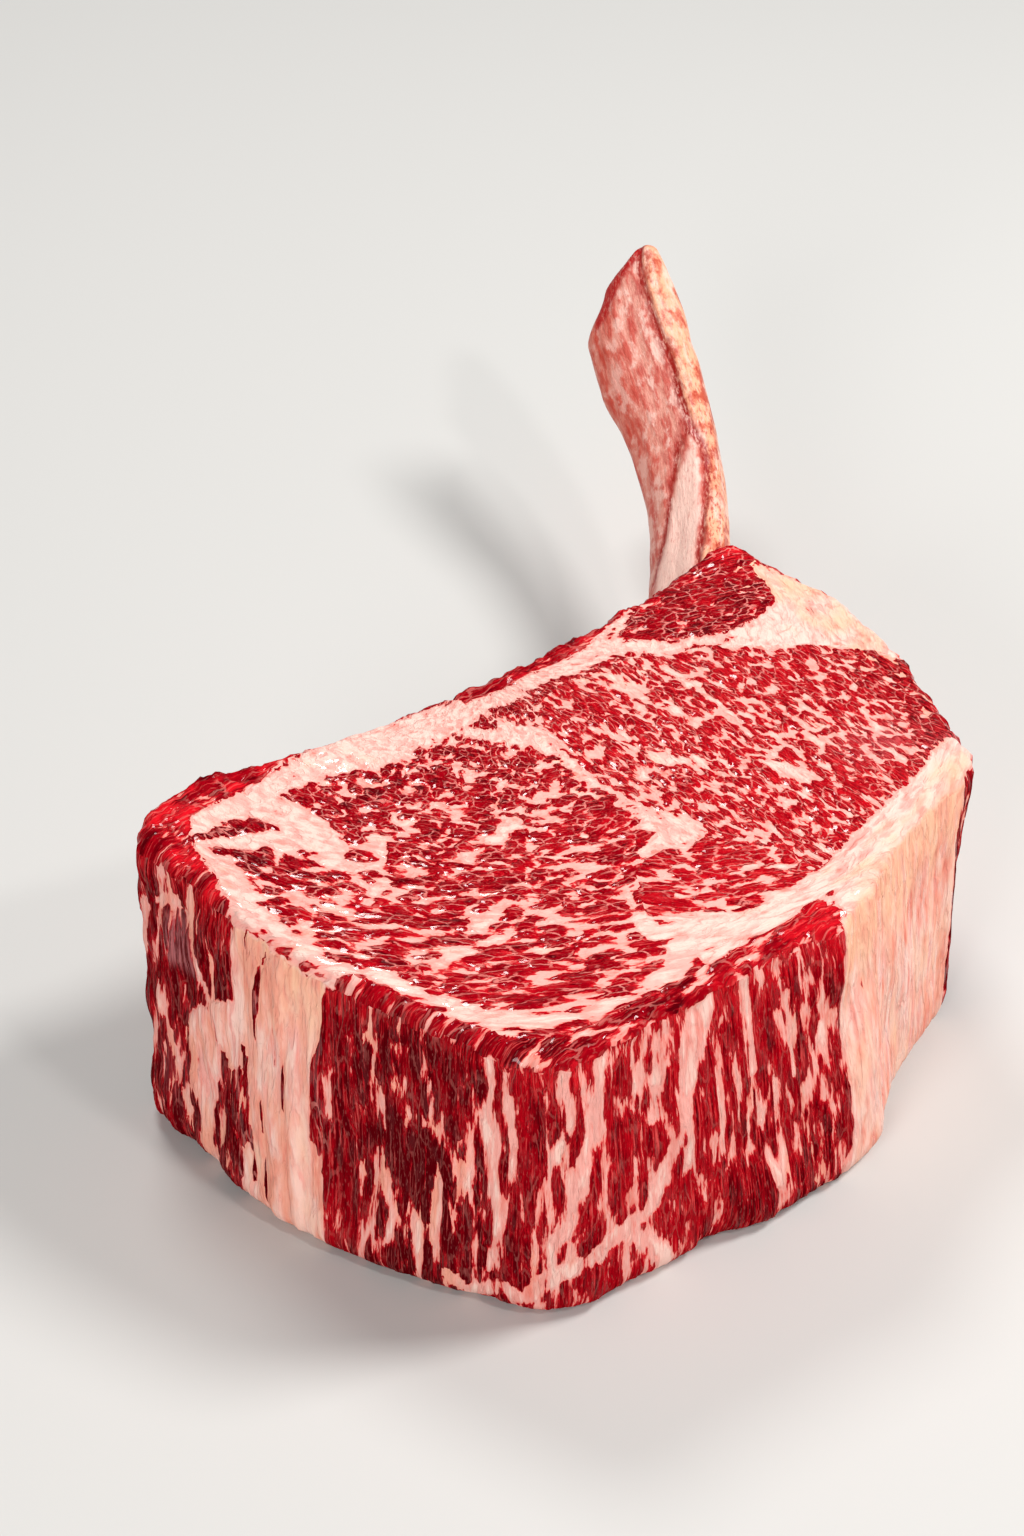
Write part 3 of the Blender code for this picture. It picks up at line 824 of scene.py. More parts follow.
def layFibres(mesh, places, overRim, around, ringCount, topCount):
    # fibre directions, kept for each face's corners so that no triangle lies between two muscles
    count = len(around)
    corners = np.zeros(len(mesh.loops), np.int64)
    mesh.loops.foreach_get("vertex_index", corners)
    sizes = np.zeros(len(mesh.polygons), np.int64)
    mesh.polygons.foreach_get("loop_total", sizes)
    faceOf = np.repeat(np.arange(len(sizes)), sizes)
    sums = np.stack([np.bincount(faceOf, places[corners, k]) for k in range(2)], axis=1)
    muscle = faceMuscle(sums / sizes[:, None])
    sideFaces = (ringCount - 1) * count
    onSide = np.bincount(faceOf, overRim[corners])[:sideFaces] / sizes[:sideFaces] < 0.5
    muscle[:sideFaces][onSide] = "side"
    muscle[sideFaces + topCount:] = "base"

    flows = faceFlows(places[:, 0], places[:, 1], 0.0)
    flows["base"] = faceFlows(places[:, 0], places[:, 1], meatForm["baseShift"])["cap"]
    along, across = fibreCourses["side"]
    apart = 4 * fibreCourses["apart"]
    sides = slice(0, ringCount * count)
    flows["side"] = np.zeros((len(places), 2))
    flows["side"][sides, 0] = places[sides, 2] / along + apart
    flows["side"][sides, 1] = across * np.tile(around, ringCount) + apart
    flow = np.zeros((len(corners), 3))
    for name, course in flows.items():
        used = muscle[faceOf] == name
        flow[used, :2] = course[corners[used]]
    # the last column of side faces closes the loop
    closing = (muscle[faceOf] == "side") & (faceOf % count == count - 1) & (corners % count == 0)
    flow[closing, 1] += across * (around[-1] + meatForm["aroundStep"])
    addLayer(mesh, "flow", flow, "CORNER")


def addNode(tree, kind, values=None, **settings):
    node = tree.nodes.new(kind)
    node.location = (len(tree.nodes) % 12 * 190, -(len(tree.nodes) // 12) * 260)
    for key, value in settings.items():
        setattr(node, key, value)
    for key, value in (values or {}).items():
        socket = node.inputs[key]
        if isinstance(value, bpy.types.NodeSocket):
            tree.links.new(value, socket)
        else:
            socket.default_value = value
    return node


def maths(tree, operation, first, second=0.0, third=0.0):
    values = {0: first, 1: second, 2: third}
    return addNode(tree, "ShaderNodeMath", values, operation=operation).outputs[0]


def vectorMaths(tree, operation, first, second):
    return addNode(tree, "ShaderNodeVectorMath", {0: first, 1: second}, operation=operation).outputs[0]


def scaled(tree, vector, factor):
    values = {0: vector, "Scale": factor}
    return addNode(tree, "ShaderNodeVectorMath", values, operation="SCALE").outputs[0]


def split(tree, vector):
    return addNode(tree, "ShaderNodeSeparateXYZ", {0: vector}).outputs


def stepped(tree, value, low, high, toLow=0.0, toHigh=1.0):
    values = {"Value": value, "From Min": low, "From Max": high, "To Min": toLow, "To Max": toHigh}
    return addNode(tree, "ShaderNodeMapRange", values, interpolation_type="SMOOTHSTEP").outputs["Result"]


def mixed(tree, factor, first, second):
    return addNode(tree, "ShaderNodeMix", {0: factor, 6: first, 7: second}, data_type="RGBA").outputs[2]


def laid(tree, finish, base, value, name):
    # one layer of a finish over the base: where the value passes from the layer's low to its high
    colour, low, high, share = finish["layers"][name]
    return mixed(tree, stepped(tree, value, low, high, 0.0, share), base, linear(*finish[colour]))


def noiseNode(tree, vector, scale, detail=2.0, roughness=0.5, dimensions="2D"):
    values = {"Vector": vector, "Scale": scale, "Detail": detail, "Roughness": roughness}
    return addNode(tree, "ShaderNodeTexNoise", values, noise_dimensions=dimensions)


def noiseLayers(tree, vector, finish, dimensions):
    layers = []
    for stretch, scale, detail, roughness in finish["noises"].values():
        stretched = vectorMaths(tree, "MULTIPLY", vector, stretch)
        layers.append(noiseNode(tree, stretched, scale, detail, roughness, dimensions).outputs[0])
    return layers


def cellNode(tree, vector, size, feature):
    values = {"Vector": vector, "Scale": 1.0 / size}
    node = addNode(tree, "ShaderNodeTexVoronoi", values, feature=feature, voronoi_dimensions="2D")
    return node.outputs["Distance"]


def newPrincipled(name, finish):
    # a material with the finish's coat and gloss, ready for its colours
    material = bpy.data.materials.new(name)
    material.use_nodes = True
    shader = material.node_tree.nodes["Principled BSDF"]
    for label, value in finish["constants"].items():
        shader.inputs[label].default_value = value
    return material, material.node_tree, shader


def dress(tree, shader, colour, roughness, height, bump):
    values = {"Height": height, "Distance": bump["distance"], "Strength": bump["strength"]}
    normal = addNode(tree, "ShaderNodeBump", values).outputs["Normal"]
    for label, socket in (("Base Color", colour), ("Roughness", roughness), ("Normal", normal)):
        tree.links.new(socket, shader.inputs[label])


def attributes(tree, *names):
    return [addNode(tree, "ShaderNodeAttribute", attribute_name=name).outputs["Vector"] for name in names]


def linear(red, green, blue):
    # a screen colour of 0 to 255 as the shader's own linear colour
    shares = [channel / 255.0 for channel in (red, green, blue)]
    return (*[c / 12.92 if c <= 0.04045 else ((c + 0.055) / 1.055) ** 2.4 for c in shares], 1.0)


def newGroup(name, kind, inputs, outputs):
    group = bpy.data.node_groups.new(name, kind)
    for label, socket in inputs:
        group.interface.new_socket(name=label, in_out="INPUT", socket_type=socket)
    for label, socket in outputs:
        group.interface.new_socket(name=label, in_out="OUTPUT", socket_type=socket)
    return group, group.nodes.new("NodeGroupInput"), group.nodes.new("NodeGroupOutput")


# Sizes of the marbling, in millimetres across the fibres.
marbling = {
    "islandSize": 2.9,
    "bendSize": 9.0,
    "bend": 4.8,
    "fraySize": 1.9,
    "fray": 1.5,
    "island": 1.15,
    "blotchSize": 2.5,
    "blotch": 1.4,
    "patchSize": 9.0,
    "patch": 1.15,
    "grainSize": 0.65,
    "grain": 0.32,
    "featherSize": 0.8,
    "feather": 1.3,
    "edge": 0.035,
    "featherStretch": (0.45, 1.0, 1.0),
    "cellMiddle": 0.46,
    "threadSize": 2.5,
    "threadEdge": (0.085, 0.05),
    "gateSize": 4.2,  # the threads come in patches of this size
    "gate": (0.38, 0.56),
    "relief": 0.40,
    "pillow": (0.02, -0.4),  # how muscle swells between the fat, from its edge inwards
    "threadRelief": 0.07,
    "deepFat": (0.25, 0.8),
    "deepFatRise": 0.16,
    "foldSize": 5.5,
    "foldEdge": (0.075, 0.0),
    "fold": 0.14,
    "footCalm": (0.0005, 0.003),  # height, in metres, over which the relief fades in
}


def makeMarblingGroup(kind):
    # margin: above zero in fat and below zero in muscle; both trees use the same one
    labels = ("Margin", "Fat Mask", "Threads", "Folds", "Height")
    group, entry, leave = newGroup(
        "marbling" + ("Shader" if kind == "ShaderNodeTree" else "Relief"),
        kind,
        [("Flow", "NodeSocketVector"), ("Fat", "NodeSocketFloat"), ("Fibre", "NodeSocketFloat")],
        [(label, "NodeSocketFloat") for label in labels],
    )
    flow = entry.outputs["Flow"]
    size = marbling

    def noiseOf(name, vector, detail=2.0, roughness=0.5):
        return noiseNode(group, vector, 1.0 / size[name + "Size"], detail, roughness).outputs

    def centred(value, middle=0.5):
        return maths(group, "SUBTRACT", value, middle)

    place = flow
    for name, detail, roughness in (("bend", 2.0, 0.5), ("fray", 3.0, 0.6)):
        shift = noiseOf(name, flow, detail, roughness)["Color"]
        shift = vectorMaths(group, "SUBTRACT", shift, (0.5, 0.5, 0.5))
        place = vectorMaths(group, "ADD", place, scaled(group, shift, size[name]))
    cells = centred(cellNode(group, place, size["islandSize"], "F1"), size["cellMiddle"])
    share = maths(group, "MULTIPLY_ADD", cells, size["island"], 0.5)
    for name, vector in (("blotch", place), ("patch", flow), ("grain", place)):
        share = maths(group, "MULTIPLY_ADD", centred(noiseOf(name, vector)[0]), size[name], share)
    feathered = vectorMaths(group, "MULTIPLY", flow, size["featherStretch"])
    feather = maths(group, "MULTIPLY", centred(noiseOf("feather", feathered, 3.0, 0.6)[0]), size["feather"])
    share = maths(group, "MULTIPLY_ADD", feather, entry.outputs["Fibre"], share)
    margin = maths(group, "ADD", share, maths(group, "SUBTRACT", entry.outputs["Fat"], 1.0))
    mask = stepped(group, margin, -size["edge"], size["edge"])

    threads = cellNode(group, place, size["threadSize"], "DISTANCE_TO_EDGE")
    gate = stepped(group, noiseOf("gate", flow)[0], *size["gate"])
    thread = maths(group, "MULTIPLY", stepped(group, threads, *size["threadEdge"]), gate)
    height = maths(group, "MULTIPLY", stepped(group, margin, *size["pillow"]), size["relief"])
    height = maths(group, "MULTIPLY_ADD", thread, size["threadRelief"], height)
    deepFat = stepped(group, margin, *size["deepFat"])
    height = maths(group, "MULTIPLY_ADD", deepFat, size["deepFatRise"], height)
    crossing = maths(group, "ABSOLUTE", centred(noiseOf("fold", place, 3.0, 0.55)[0]))
    fold = maths(group, "MULTIPLY", stepped(group, crossing, *size["foldEdge"]), deepFat)
    height = maths(group, "MULTIPLY_ADD", fold, -size["fold"], height)
    for label, socket in zip(labels, (margin, mask, thread, fold, height)):
        group.links.new(socket, leave.inputs[label])
    return group


def raiseMarbling(piece):
    # the marbling's own relief, pushed out of the mesh along its normals
    geometrySocket = [("Geometry", "NodeSocketGeometry")]
    tree, entry, leave = newGroup("raiseMarbling", "GeometryNodeTree", geometrySocket, geometrySocket)
    flow, tissue, tint = (
        addNode(tree, "GeometryNodeInputNamedAttribute", {"Name": name}, data_type="FLOAT_VECTOR")
        .outputs["Attribute"] for name in ("flow", "tissue", "tint")
    )
    relief = addNode(tree, "GeometryNodeGroup", node_tree=makeMarblingGroup("GeometryNodeTree"))
    for label, socket in (("Flow", flow), ("Fat", split(tree, tissue)[0]), ("Fibre", split(tree, tint)[2])):
        tree.links.new(socket, relief.inputs[label])
    above = split(tree, addNode(tree, "GeometryNodeInputPosition").outputs[0])[2]
    height = maths(tree, "MULTIPLY", relief.outputs["Height"], mm)
    height = maths(tree, "MULTIPLY", height, stepped(tree, above, *marbling["footCalm"]))
    offset = scaled(tree, addNode(tree, "GeometryNodeInputNormal").outputs[0], height)
    moved = addNode(tree, "GeometryNodeSetPosition", {"Geometry": entry.outputs[0], "Offset": offset})
    tree.links.new(moved.outputs["Geometry"], leave.inputs[0])
    piece.modifiers.new("raiseMarbling", "NODES").node_group = tree
    depsgraph = bpy.context.evaluated_depsgraph_get()
    solved = piece.evaluated_get(depsgraph)
    mesh = bpy.data.meshes.new_from_object(solved, preserve_all_data_layers=True, depsgraph=depsgraph)
    piece.modifiers.clear()
    old = piece.data
    piece.data = mesh
    mesh.name = "raw_ribeye_meat"
    bpy.data.meshes.remove(old)
    mesh.shade_smooth()
    print("marbling raised", len(mesh.polygons))


# Colours of raw beef on a screen, 0 to 255, and how they are laid over one another.
beefFinish = {
    "leanEdge": (208, 26, 38),
    "red": (188, 8, 24),
    "deepRed": (150, 2, 17),
    "darkRed": (88, 1, 9),
    "brightRed": (218, 22, 34),
    "thread": (242, 142, 132),
    "fatEdge": (230, 96, 90),
    "pinkFat": (241, 142, 130),
    "fat": (249, 176, 164),
    "paleFat": (253, 208, 194),
    "creamFat": (254, 194, 160),
    "peachFat": (248, 168, 144),
    "blush": (232, 118, 104),
    # silver: silvery spots by the tail on the top, and a painted sheen on the chine side
    "silverAndSheen": (206, 130, 132),
    "noises": {  # stretch, scale, detail, roughness
        "tone": ((1.0, 1.0, 1.0), 1.0 / 5.0, 3.0, 0.5),
        "speck": ((1.0, 1.0, 1.0), 1.0 / 0.5, 1.0, 0.5),
        "strands": ((0.35, 1.7, 1.0), 1.0, 3.0, 0.6),
        "blush": ((0.7, 1.0, 1.0), 0.35, 4.0, 0.6),
        "broad": ((1.0, 0.8, 1.0), 0.22, 3.0, 0.55),
        "wet": ((1.0, 1.0, 1.0), 1.0 / 1.9, 2.0, 0.5),
    },
    "layers": {  # colour, from, to, share
        "deep": ("deepRed", 0.12, 0.50, 1.0),
        "dark": ("darkRed", 0.55, 1.15, 1.0),
        "bright": ("brightRed", 0.35, 1.0, 1.0),
        "specks": ("thread", 0.62, 0.72, 0.12),
        "leanEdge": ("leanEdge", -0.14, -0.01, 0.85),
        "pink": ("pinkFat", 0.0, 0.05, 1.0),
        "fat": ("fat", 0.03, 0.15, 1.0),
        "pale": ("paleFat", 0.28, 0.80, 1.0),
        "cream": ("creamFat", 0.35, 1.0, 1.0),
        "peach": ("peachFat", 0.50, 1.0, 1.0),
        "broadBlush": ("blush", 0.62, 0.80, 0.7),
        "fineBlush": ("blush", 0.50, 0.72, 0.42),
    },
    "tone": {"depth": 1.5, "paleness": 1.2, "cream": 0.9, "peach": 1.6, "lift": 1.4},
    "fibre": {  # a share's change over fibre-rich parts, and its value without any
        "threads": (-0.67, 0.80),
        "strands": (-0.02, 0.17),
        "softness": (1.7, 0.8),
        "wet": (-0.8, 1.0),
    },
    "fibrePaleness": -0.32,
    "threadsInDark": (0.55, 0.95, 1.0, 0.45),
    "strandEdge": (0.62, 0.68),
    "silverStrands": (0.36, 0.60),
    "foldShare": 0.22,
    "leanRoughness": (0.35, 0.65, 0.15, 0.30),
    "fatRoughness": 0.34,
    "wet": (0.54, 0.62, 0.0, 0.95),
    "bump": {"speck": 0.10, "strands": 0.20, "blush": 0.25, "distance": 1.3 * mm, "strength": 1.0},
    "constants": {"Coat Roughness": 0.08, "Specular IOR Level": 0.0},
}


def makeBeef():
    finish = beefFinish
    material, tree, shader = newPrincipled("marbledBeef", finish)
    flow, tissue, tint = attributes(tree, "flow", "tissue", "tint")
    fat, cream, dark = split(tree, tissue)
    bright, silverAndSheen, fibre = split(tree, tint)
    pattern = addNode(tree, "ShaderNodeGroup", node_tree=makeMarblingGroup("ShaderNodeTree"))
    for label, socket in (("Flow", flow), ("Fat", fat), ("Fibre", fibre)):
        tree.links.new(socket, pattern.inputs[label])
    margin = pattern.outputs["Margin"]
    tone, speck, strands, blush, broad, wet = noiseLayers(tree, flow, finish, "2D")
    toneShift = maths(tree, "SUBTRACT", tone, 0.5)
    amount = finish["tone"]
    byFibre = {
        name: maths(tree, "MULTIPLY_ADD", fibre, change, plain)
        for name, (change, plain) in finish["fibre"].items()
    }

    # muscle: redder and darker further from the fat
    depth = maths(tree, "MULTIPLY", margin, -1.0)
    depth = maths(tree, "ADD", depth, maths(tree, "MULTIPLY_ADD", toneShift, amount["depth"], dark))
    lift = maths(tree, "MULTIPLY_ADD", maths(tree, "SUBTRACT", strands, 0.5), amount["lift"], bright)
    lean = linear(*finish["red"])
    for value, name in ((depth, "deep"), (depth, "dark"), (lift, "bright"), (speck, "specks")):
        lean = laid(tree, finish, lean, value, name)
    threads = maths(tree, "MULTIPLY", byFibre["threads"], stepped(tree, dark, *finish["threadsInDark"]))
    threads = maths(tree, "MULTIPLY", pattern.outputs["Threads"], threads)
    lean = mixed(tree, threads, lean, linear(*finish["thread"]))
    fine = maths(tree, "MULTIPLY", stepped(tree, strands, *finish["strandEdge"]), byFibre["strands"])
    lean = mixed(tree, fine, lean, linear(*finish["thread"]))
    soft = maths(tree, "DIVIDE", margin, byFibre["softness"])
    lean = laid(tree, finish, lean, soft, "leanEdge")

    # fat: pink where it thins out over the muscle
    paleness = maths(tree, "MULTIPLY_ADD", toneShift, amount["paleness"], margin)
    paleness = maths(tree, "MULTIPLY_ADD", fibre, finish["fibrePaleness"], paleness)
    creamy = maths(tree, "MULTIPLY_ADD", toneShift, amount["cream"], cream)
    peach = maths(tree, "MULTIPLY_ADD", maths(tree, "SUBTRACT", broad, 0.5), amount["peach"], dark)
    fatTone = linear(*finish["fatEdge"])
    for value, name in ((soft, "pink"), (soft, "fat"), (paleness, "pale"), (creamy, "cream"),
                        (peach, "peach"), (broad, "broadBlush"), (blush, "fineBlush")):
        fatTone = laid(tree, finish, fatTone, value, name)
    folds = maths(tree, "MULTIPLY", pattern.outputs["Folds"], finish["foldShare"])
    fatTone = mixed(tree, folds, fatTone, linear(*finish["blush"]))
    flesh = mixed(tree, pattern.outputs["Fat Mask"], lean, fatTone)
    # silver colour: silvery spots by the tail on the top, and a painted sheen on the chine side
    silverAndSheenMask = maths(tree, "MULTIPLY", silverAndSheen, stepped(tree, strands, *finish["silverStrands"]))
    flesh = mixed(tree, silverAndSheenMask, flesh, linear(*finish["silverAndSheen"]))

    # gloss and the finest relief
    rough = stepped(tree, tone, *finish["leanRoughness"])
    values = {0: pattern.outputs["Fat Mask"], 2: rough, 3: finish["fatRoughness"]}
    rough = addNode(tree, "ShaderNodeMix", values).outputs[0]
    wet = maths(tree, "MULTIPLY", stepped(tree, wet, *finish["wet"]), byFibre["wet"])
    tree.links.new(wet, shader.inputs["Coat Weight"])
    share = finish["bump"]
    fine = maths(tree, "MULTIPLY", maths(tree, "SUBTRACT", speck, 0.5), share["speck"])
    fine = maths(tree, "MULTIPLY_ADD", strands, share["strands"], fine)
    fine = maths(tree, "MULTIPLY_ADD", blush, share["blush"], fine)
    height = maths(tree, "ADD", pattern.outputs["Height"], fine)
    dress(tree, shader, flesh, rough, height, share)
    return material


# The rib: stations along its ridge line, as in its solid, in millimetres and degrees:
# length, heading, climb, roll, half width below the ridge, above it, half thickness.
ribForm = {
    "start": (-62, 50, 32),
    "stations": (
        (0, 12, 1, 88, 9, 7, 5.0),
        (25, 3, 1, 88, 13, 9, 6.3),
        (70, 0, 2, 86, 13, 9, 6.6),
        (105, 5, 3, 74, 12.5, 8.5, 6.6),
        (150, 28, 4, 50, 13, 8, 6.6),
        (185, 44, 7, 34, 17, 7.3, 6.5),
        (215, 50, 11, 30, 16.5, 6.6, 6.3),
        (245, 57, 15, 28, 18.5, 6.6, 6.0),
        (270, 63, 18, 27, 22, 7.3, 5.6),
        (290, 61, 20, 27, 22, 7.6, 5.0),
        (305, 59, 22, 27, 13.5, 6.0, 4.0),
        (316, 57, 22, 27, 2, 4.4, 2.4),
    ),
    "step": 1.5,
    "sides": 96,
    "tipRings": 26,
    "squareness": 0.83,
    "taper": 0.35,
    "groove": 0.10,
    "groovePlace": 0.25,
    "grooveWidth": 0.18,
    "lumps": 0.35,
    "lumpSize": 9.0,
    "scrapes": 0.22,
    "tipRound": 3.5,
    "tipShare": 0.10,  # width left at the very tip
    "bar": 0.35,  # height of the raised bar
    "crease": 0.35,
    "creaseReach": 0.6,
}


def ribValues(length):
    stations = ribForm["stations"]
    for low, high in zip(stations, stations[1:]):
        if length <= high[0]:
            t = (length - low[0]) / (high[0] - low[0])
            eased = 0.5 * t + 0.5 * float(smooth(t))
            return [a + (b - a) * eased for a, b in zip(low[1:], high[1:])]
    return list(stations[-1][1:])


def ribRun(heading, climb):
    flat = math.cos(math.radians(climb))
    turn = math.radians(heading)
    return Vector((flat * math.cos(turn), flat * math.sin(turn), math.sin(math.radians(climb))))


def ribLengths():
    stations = ribForm["stations"]
    marks = list(np.arange(0.0, stations[-3][0], ribForm["step"]))
    shaftEnd = marks[-1]
    for k in range(1, ribForm["tipRings"] + 1):
        turn = k / ribForm["tipRings"] * math.pi / 2.0
        marks.append(shaftEnd + (stations[-1][0] - shaftEnd) * math.sin(turn))
    return marks


def ribSurface(marks):
    # points round the rib at each mark, the way out at each, and its length, across and out
    form = ribForm
    square = form["squareness"]
    place = Vector(form["start"])
    before = 0.0
    points, outwards, layers = [], [], []
    for length in marks:
        middle = ribValues(0.5 * (before + length))
        place = place + ribRun(middle[0], middle[1]) * (length - before)
        before = length
        heading, climb, roll, below, above, thick = ribValues(length)
        run = ribRun(heading, climb)
        right = run.cross(Vector((0.0, 0.0, 1.0))).normalized()
        up = right.cross(run)
        turn = math.radians(roll)
        across = right * math.cos(turn) + up * math.sin(turn)
        outward = up * math.cos(turn) - right * math.sin(turn)
        closing = min(1.0, (marks[-1] - length) / form["tipRound"])
        dome = max(form["tipShare"], math.sqrt(1.0 - (1.0 - closing) ** 2))
        for k in range(form["sides"]):
            angle = 2.0 * math.pi * k / form["sides"]
            side = math.cos(angle)
            lift = math.sin(angle)
            reach = above if side > 0.0 else below
            taper = 1.0 if side > 0.0 else 1.0 - form["taper"] * side * side
            groove = 0.0
            if lift > 0.0:
                away = (side + form["groovePlace"]) / form["grooveWidth"]
                groove = form["groove"] * math.exp(-away ** 2)
            x = dome * reach * math.copysign(abs(side) ** square, side)
            y = dome * thick * taper * (1.0 - groove) * math.copysign(abs(lift) ** square, lift)
            spot = place + across * x + outward * y
            scrape = noise.noise((length / 22.0, x / 2.2, y / 4.0 + 3.0))
            push = form["scrapes"] * scrape + form["lumps"] * noise.noise(spot / form["lumpSize"])
            points.append(spot + (across * side + outward * lift) * push)
            outwards.append(across * side + outward * lift)
            layers.append((length, x, y))
    return np.array(points), np.array(outwards), np.array(layers)


def ribMarkings(layers):
    # crease, stain and raised bar of the outer face, and their relief
    form = ribForm
    wander = noiseAt(layers, 9.0, (2.5, 0.3, 8.8))
    ragged = noiseAt(layers, (3.0, 1.6, 4.0), (6.5, 1.3, 0.8))
    spread = layers[:, :2] + np.stack([2.0 * wander, 0.7 * wander], axis=1)
    upper = ramp(layers[:, 2], 0.0, 1.5)
    gap = {name: lineGap(spread, line) for name, line in boneLines.items()}
    nearest = np.minimum.reduce([gap[name] for name in ("ridge", "leftBranch", "rightBranch")])
    crease = np.exp(-np.maximum(nearest + 0.5 * ragged, 0.0) ** 2 / form["creaseReach"]) * upper
    stain = ramp(gap["tipStain"] + 1.5 * ragged, 2.5, -1.0) * ramp(layers[:, 2], -3.0, -1.0)
    stain -= ramp(gap["paleFace"], 2.5, -1.5) * upper
    bar = ramp(gap["bar"] + 0.8 * wander, 0.8, -0.8)
    return np.stack([crease, stain, bar], axis=1), form["bar"] * bar * upper - form["crease"] * crease


def makeRib():
    sides = ribForm["sides"]
    marks = ribLengths()
    points, outwards, layers = ribSurface(marks)
    faces = ringFaces(len(marks), sides)
    faces.append(tuple(reversed(range(sides))))
    faces.append(tuple(range(len(points) - sides, len(points))))
    markings, relief = ribMarkings(layers)
    points = (points + outwards * relief[:, None]) * mm
    mesh = bpy.data.meshes.new("scraped_rib_bone")
    mesh.from_pydata(points.tolist(), [], faces)
    addLayer(mesh, "bonePlace", layers)
    addLayer(mesh, "boneMarks", markings)
    shape = bmesh.new()
    shape.from_mesh(mesh)
    bmesh.ops.recalc_face_normals(shape, faces=shape.faces)
    shape.to_mesh(mesh)
    shape.free()
    mesh.shade_smooth()
    print("rib made", len(mesh.polygons))
    return placed("scraped_rib_bone", mesh)


# Lines on the outer face of the rib: length along it, place across it, half width.
boneLines = {
    "ridge": [(318, 0.6, 0.5), (305, -1.0, 0.5), (291, 0.0, 0.5), (276, 0.8, 0.4), (262, 0.6, 0.5),
              (249, 1.2, 0.6), (240, 0.8, 0.9)],
    "leftBranch": [(241, 0.6, 0.5), (236, -3.4, 0.7), (224, -6.6, 0.3), (208, -9.3, 0.2),
                   (190, -13.3, 0.2)],
    "rightBranch": [(241, 1.4, 0.5), (234, 4.4, 0.6), (222, 4.6, 0.3), (206, 3.1, 0.3), (190, 2.6, 0.2),
                    (150, 2.0, 0.2)],
    "tipStain": [(315, -2.5, 3.0), (311, -6.5, 3.8), (306, -10.5, 3.6), (301, -13.5, 2.6),
                 (295, -16.5, 0.8)],
    "bar": [(318, 5.0, 4.4), (300, 5.4, 5.0), (276, 6.0, 5.0), (250, 6.2, 4.6), (238, 8.0, 3.2),
            (200, 8.0, 4.4), (100, 8.0, 5.0)],
    "paleFace": [(232, 0.5, 1.0), (222, -1.0, 3.0), (208, -3.0, 4.4), (190, -5.0, 6.0), (150, -5.0, 6.0)],
}

# Colours of the scraped rib, 0 to 255, and how they are laid over one another.
boneFinish = {
    "pale": (230, 156, 138),
    "pink": (208, 98, 84),
    "red": (176, 24, 22),
    "cream": (252, 180, 144),
    # rust: orange-brown of the rib, also laid on as painted shade over the left part of its face
    "rustAndShade": (190, 60, 36),
    # painted shade: a dark red laid along the ridge creases
    "paintedCreaseShade": (158, 26, 18),
    "highlight": (253, 210, 194),
    "noises": {  # stretch, scale, detail, roughness
        "streaks": ((0.22, 1.0, 1.0), 0.42, 4.0, 0.62),
        "mottle": ((0.55, 1.0, 1.0), 0.22, 4.0, 0.62),
        "fine": ((0.3, 1.0, 1.0), 1.5, 3.0, 0.62),
    },
    "layers": {  # colour, from, to, share
        "pinkStreaks": ("pink", 0.42, 0.60, 1.0),
        "redMottle": ("red", 0.52, 0.66, 0.45),
        "paleMottle": ("highlight", 0.52, 0.38, 0.75),
        "redSpecks": ("red", 0.58, 0.70, 0.30),
        # partly the orange-brown of the rib's left edge, partly painted shade that darkens the left part of
        # its face towards that edge
        "rustAndPaintedShade": ("rustAndShade", -3.0, -19.0, 0.42),
        "barHighlight": ("highlight", 0.52, 0.36, 0.7),
        "barRust": ("rustAndShade", 0.46, 0.64, 0.85),
    },
    "breaks": {  # how the fine noise breaks up each marking
        "pale": (0.72, 0.50, 0.4, 0.9),
        "bar": (0.50, 0.64, 0.0, 1.0),
        "crease": (0.32, 0.56, 0.25, 1.0),
        "stain": (0.3, 0.55, 0.5, 1.0),
    },
    "barSpecks": (285.0, 235.0, 0.5, 0.25),  # more of them from one length to the other
    "roughness": (0.3, 0.7, 0.28, 0.46),
    "bump": {"fine": 0.35, "crease": -0.25, "distance": 0.0006, "strength": 0.9},
    "constants": {"Coat Weight": 0.12, "Coat Roughness": 0.16, "Specular IOR Level": 0.12},
}


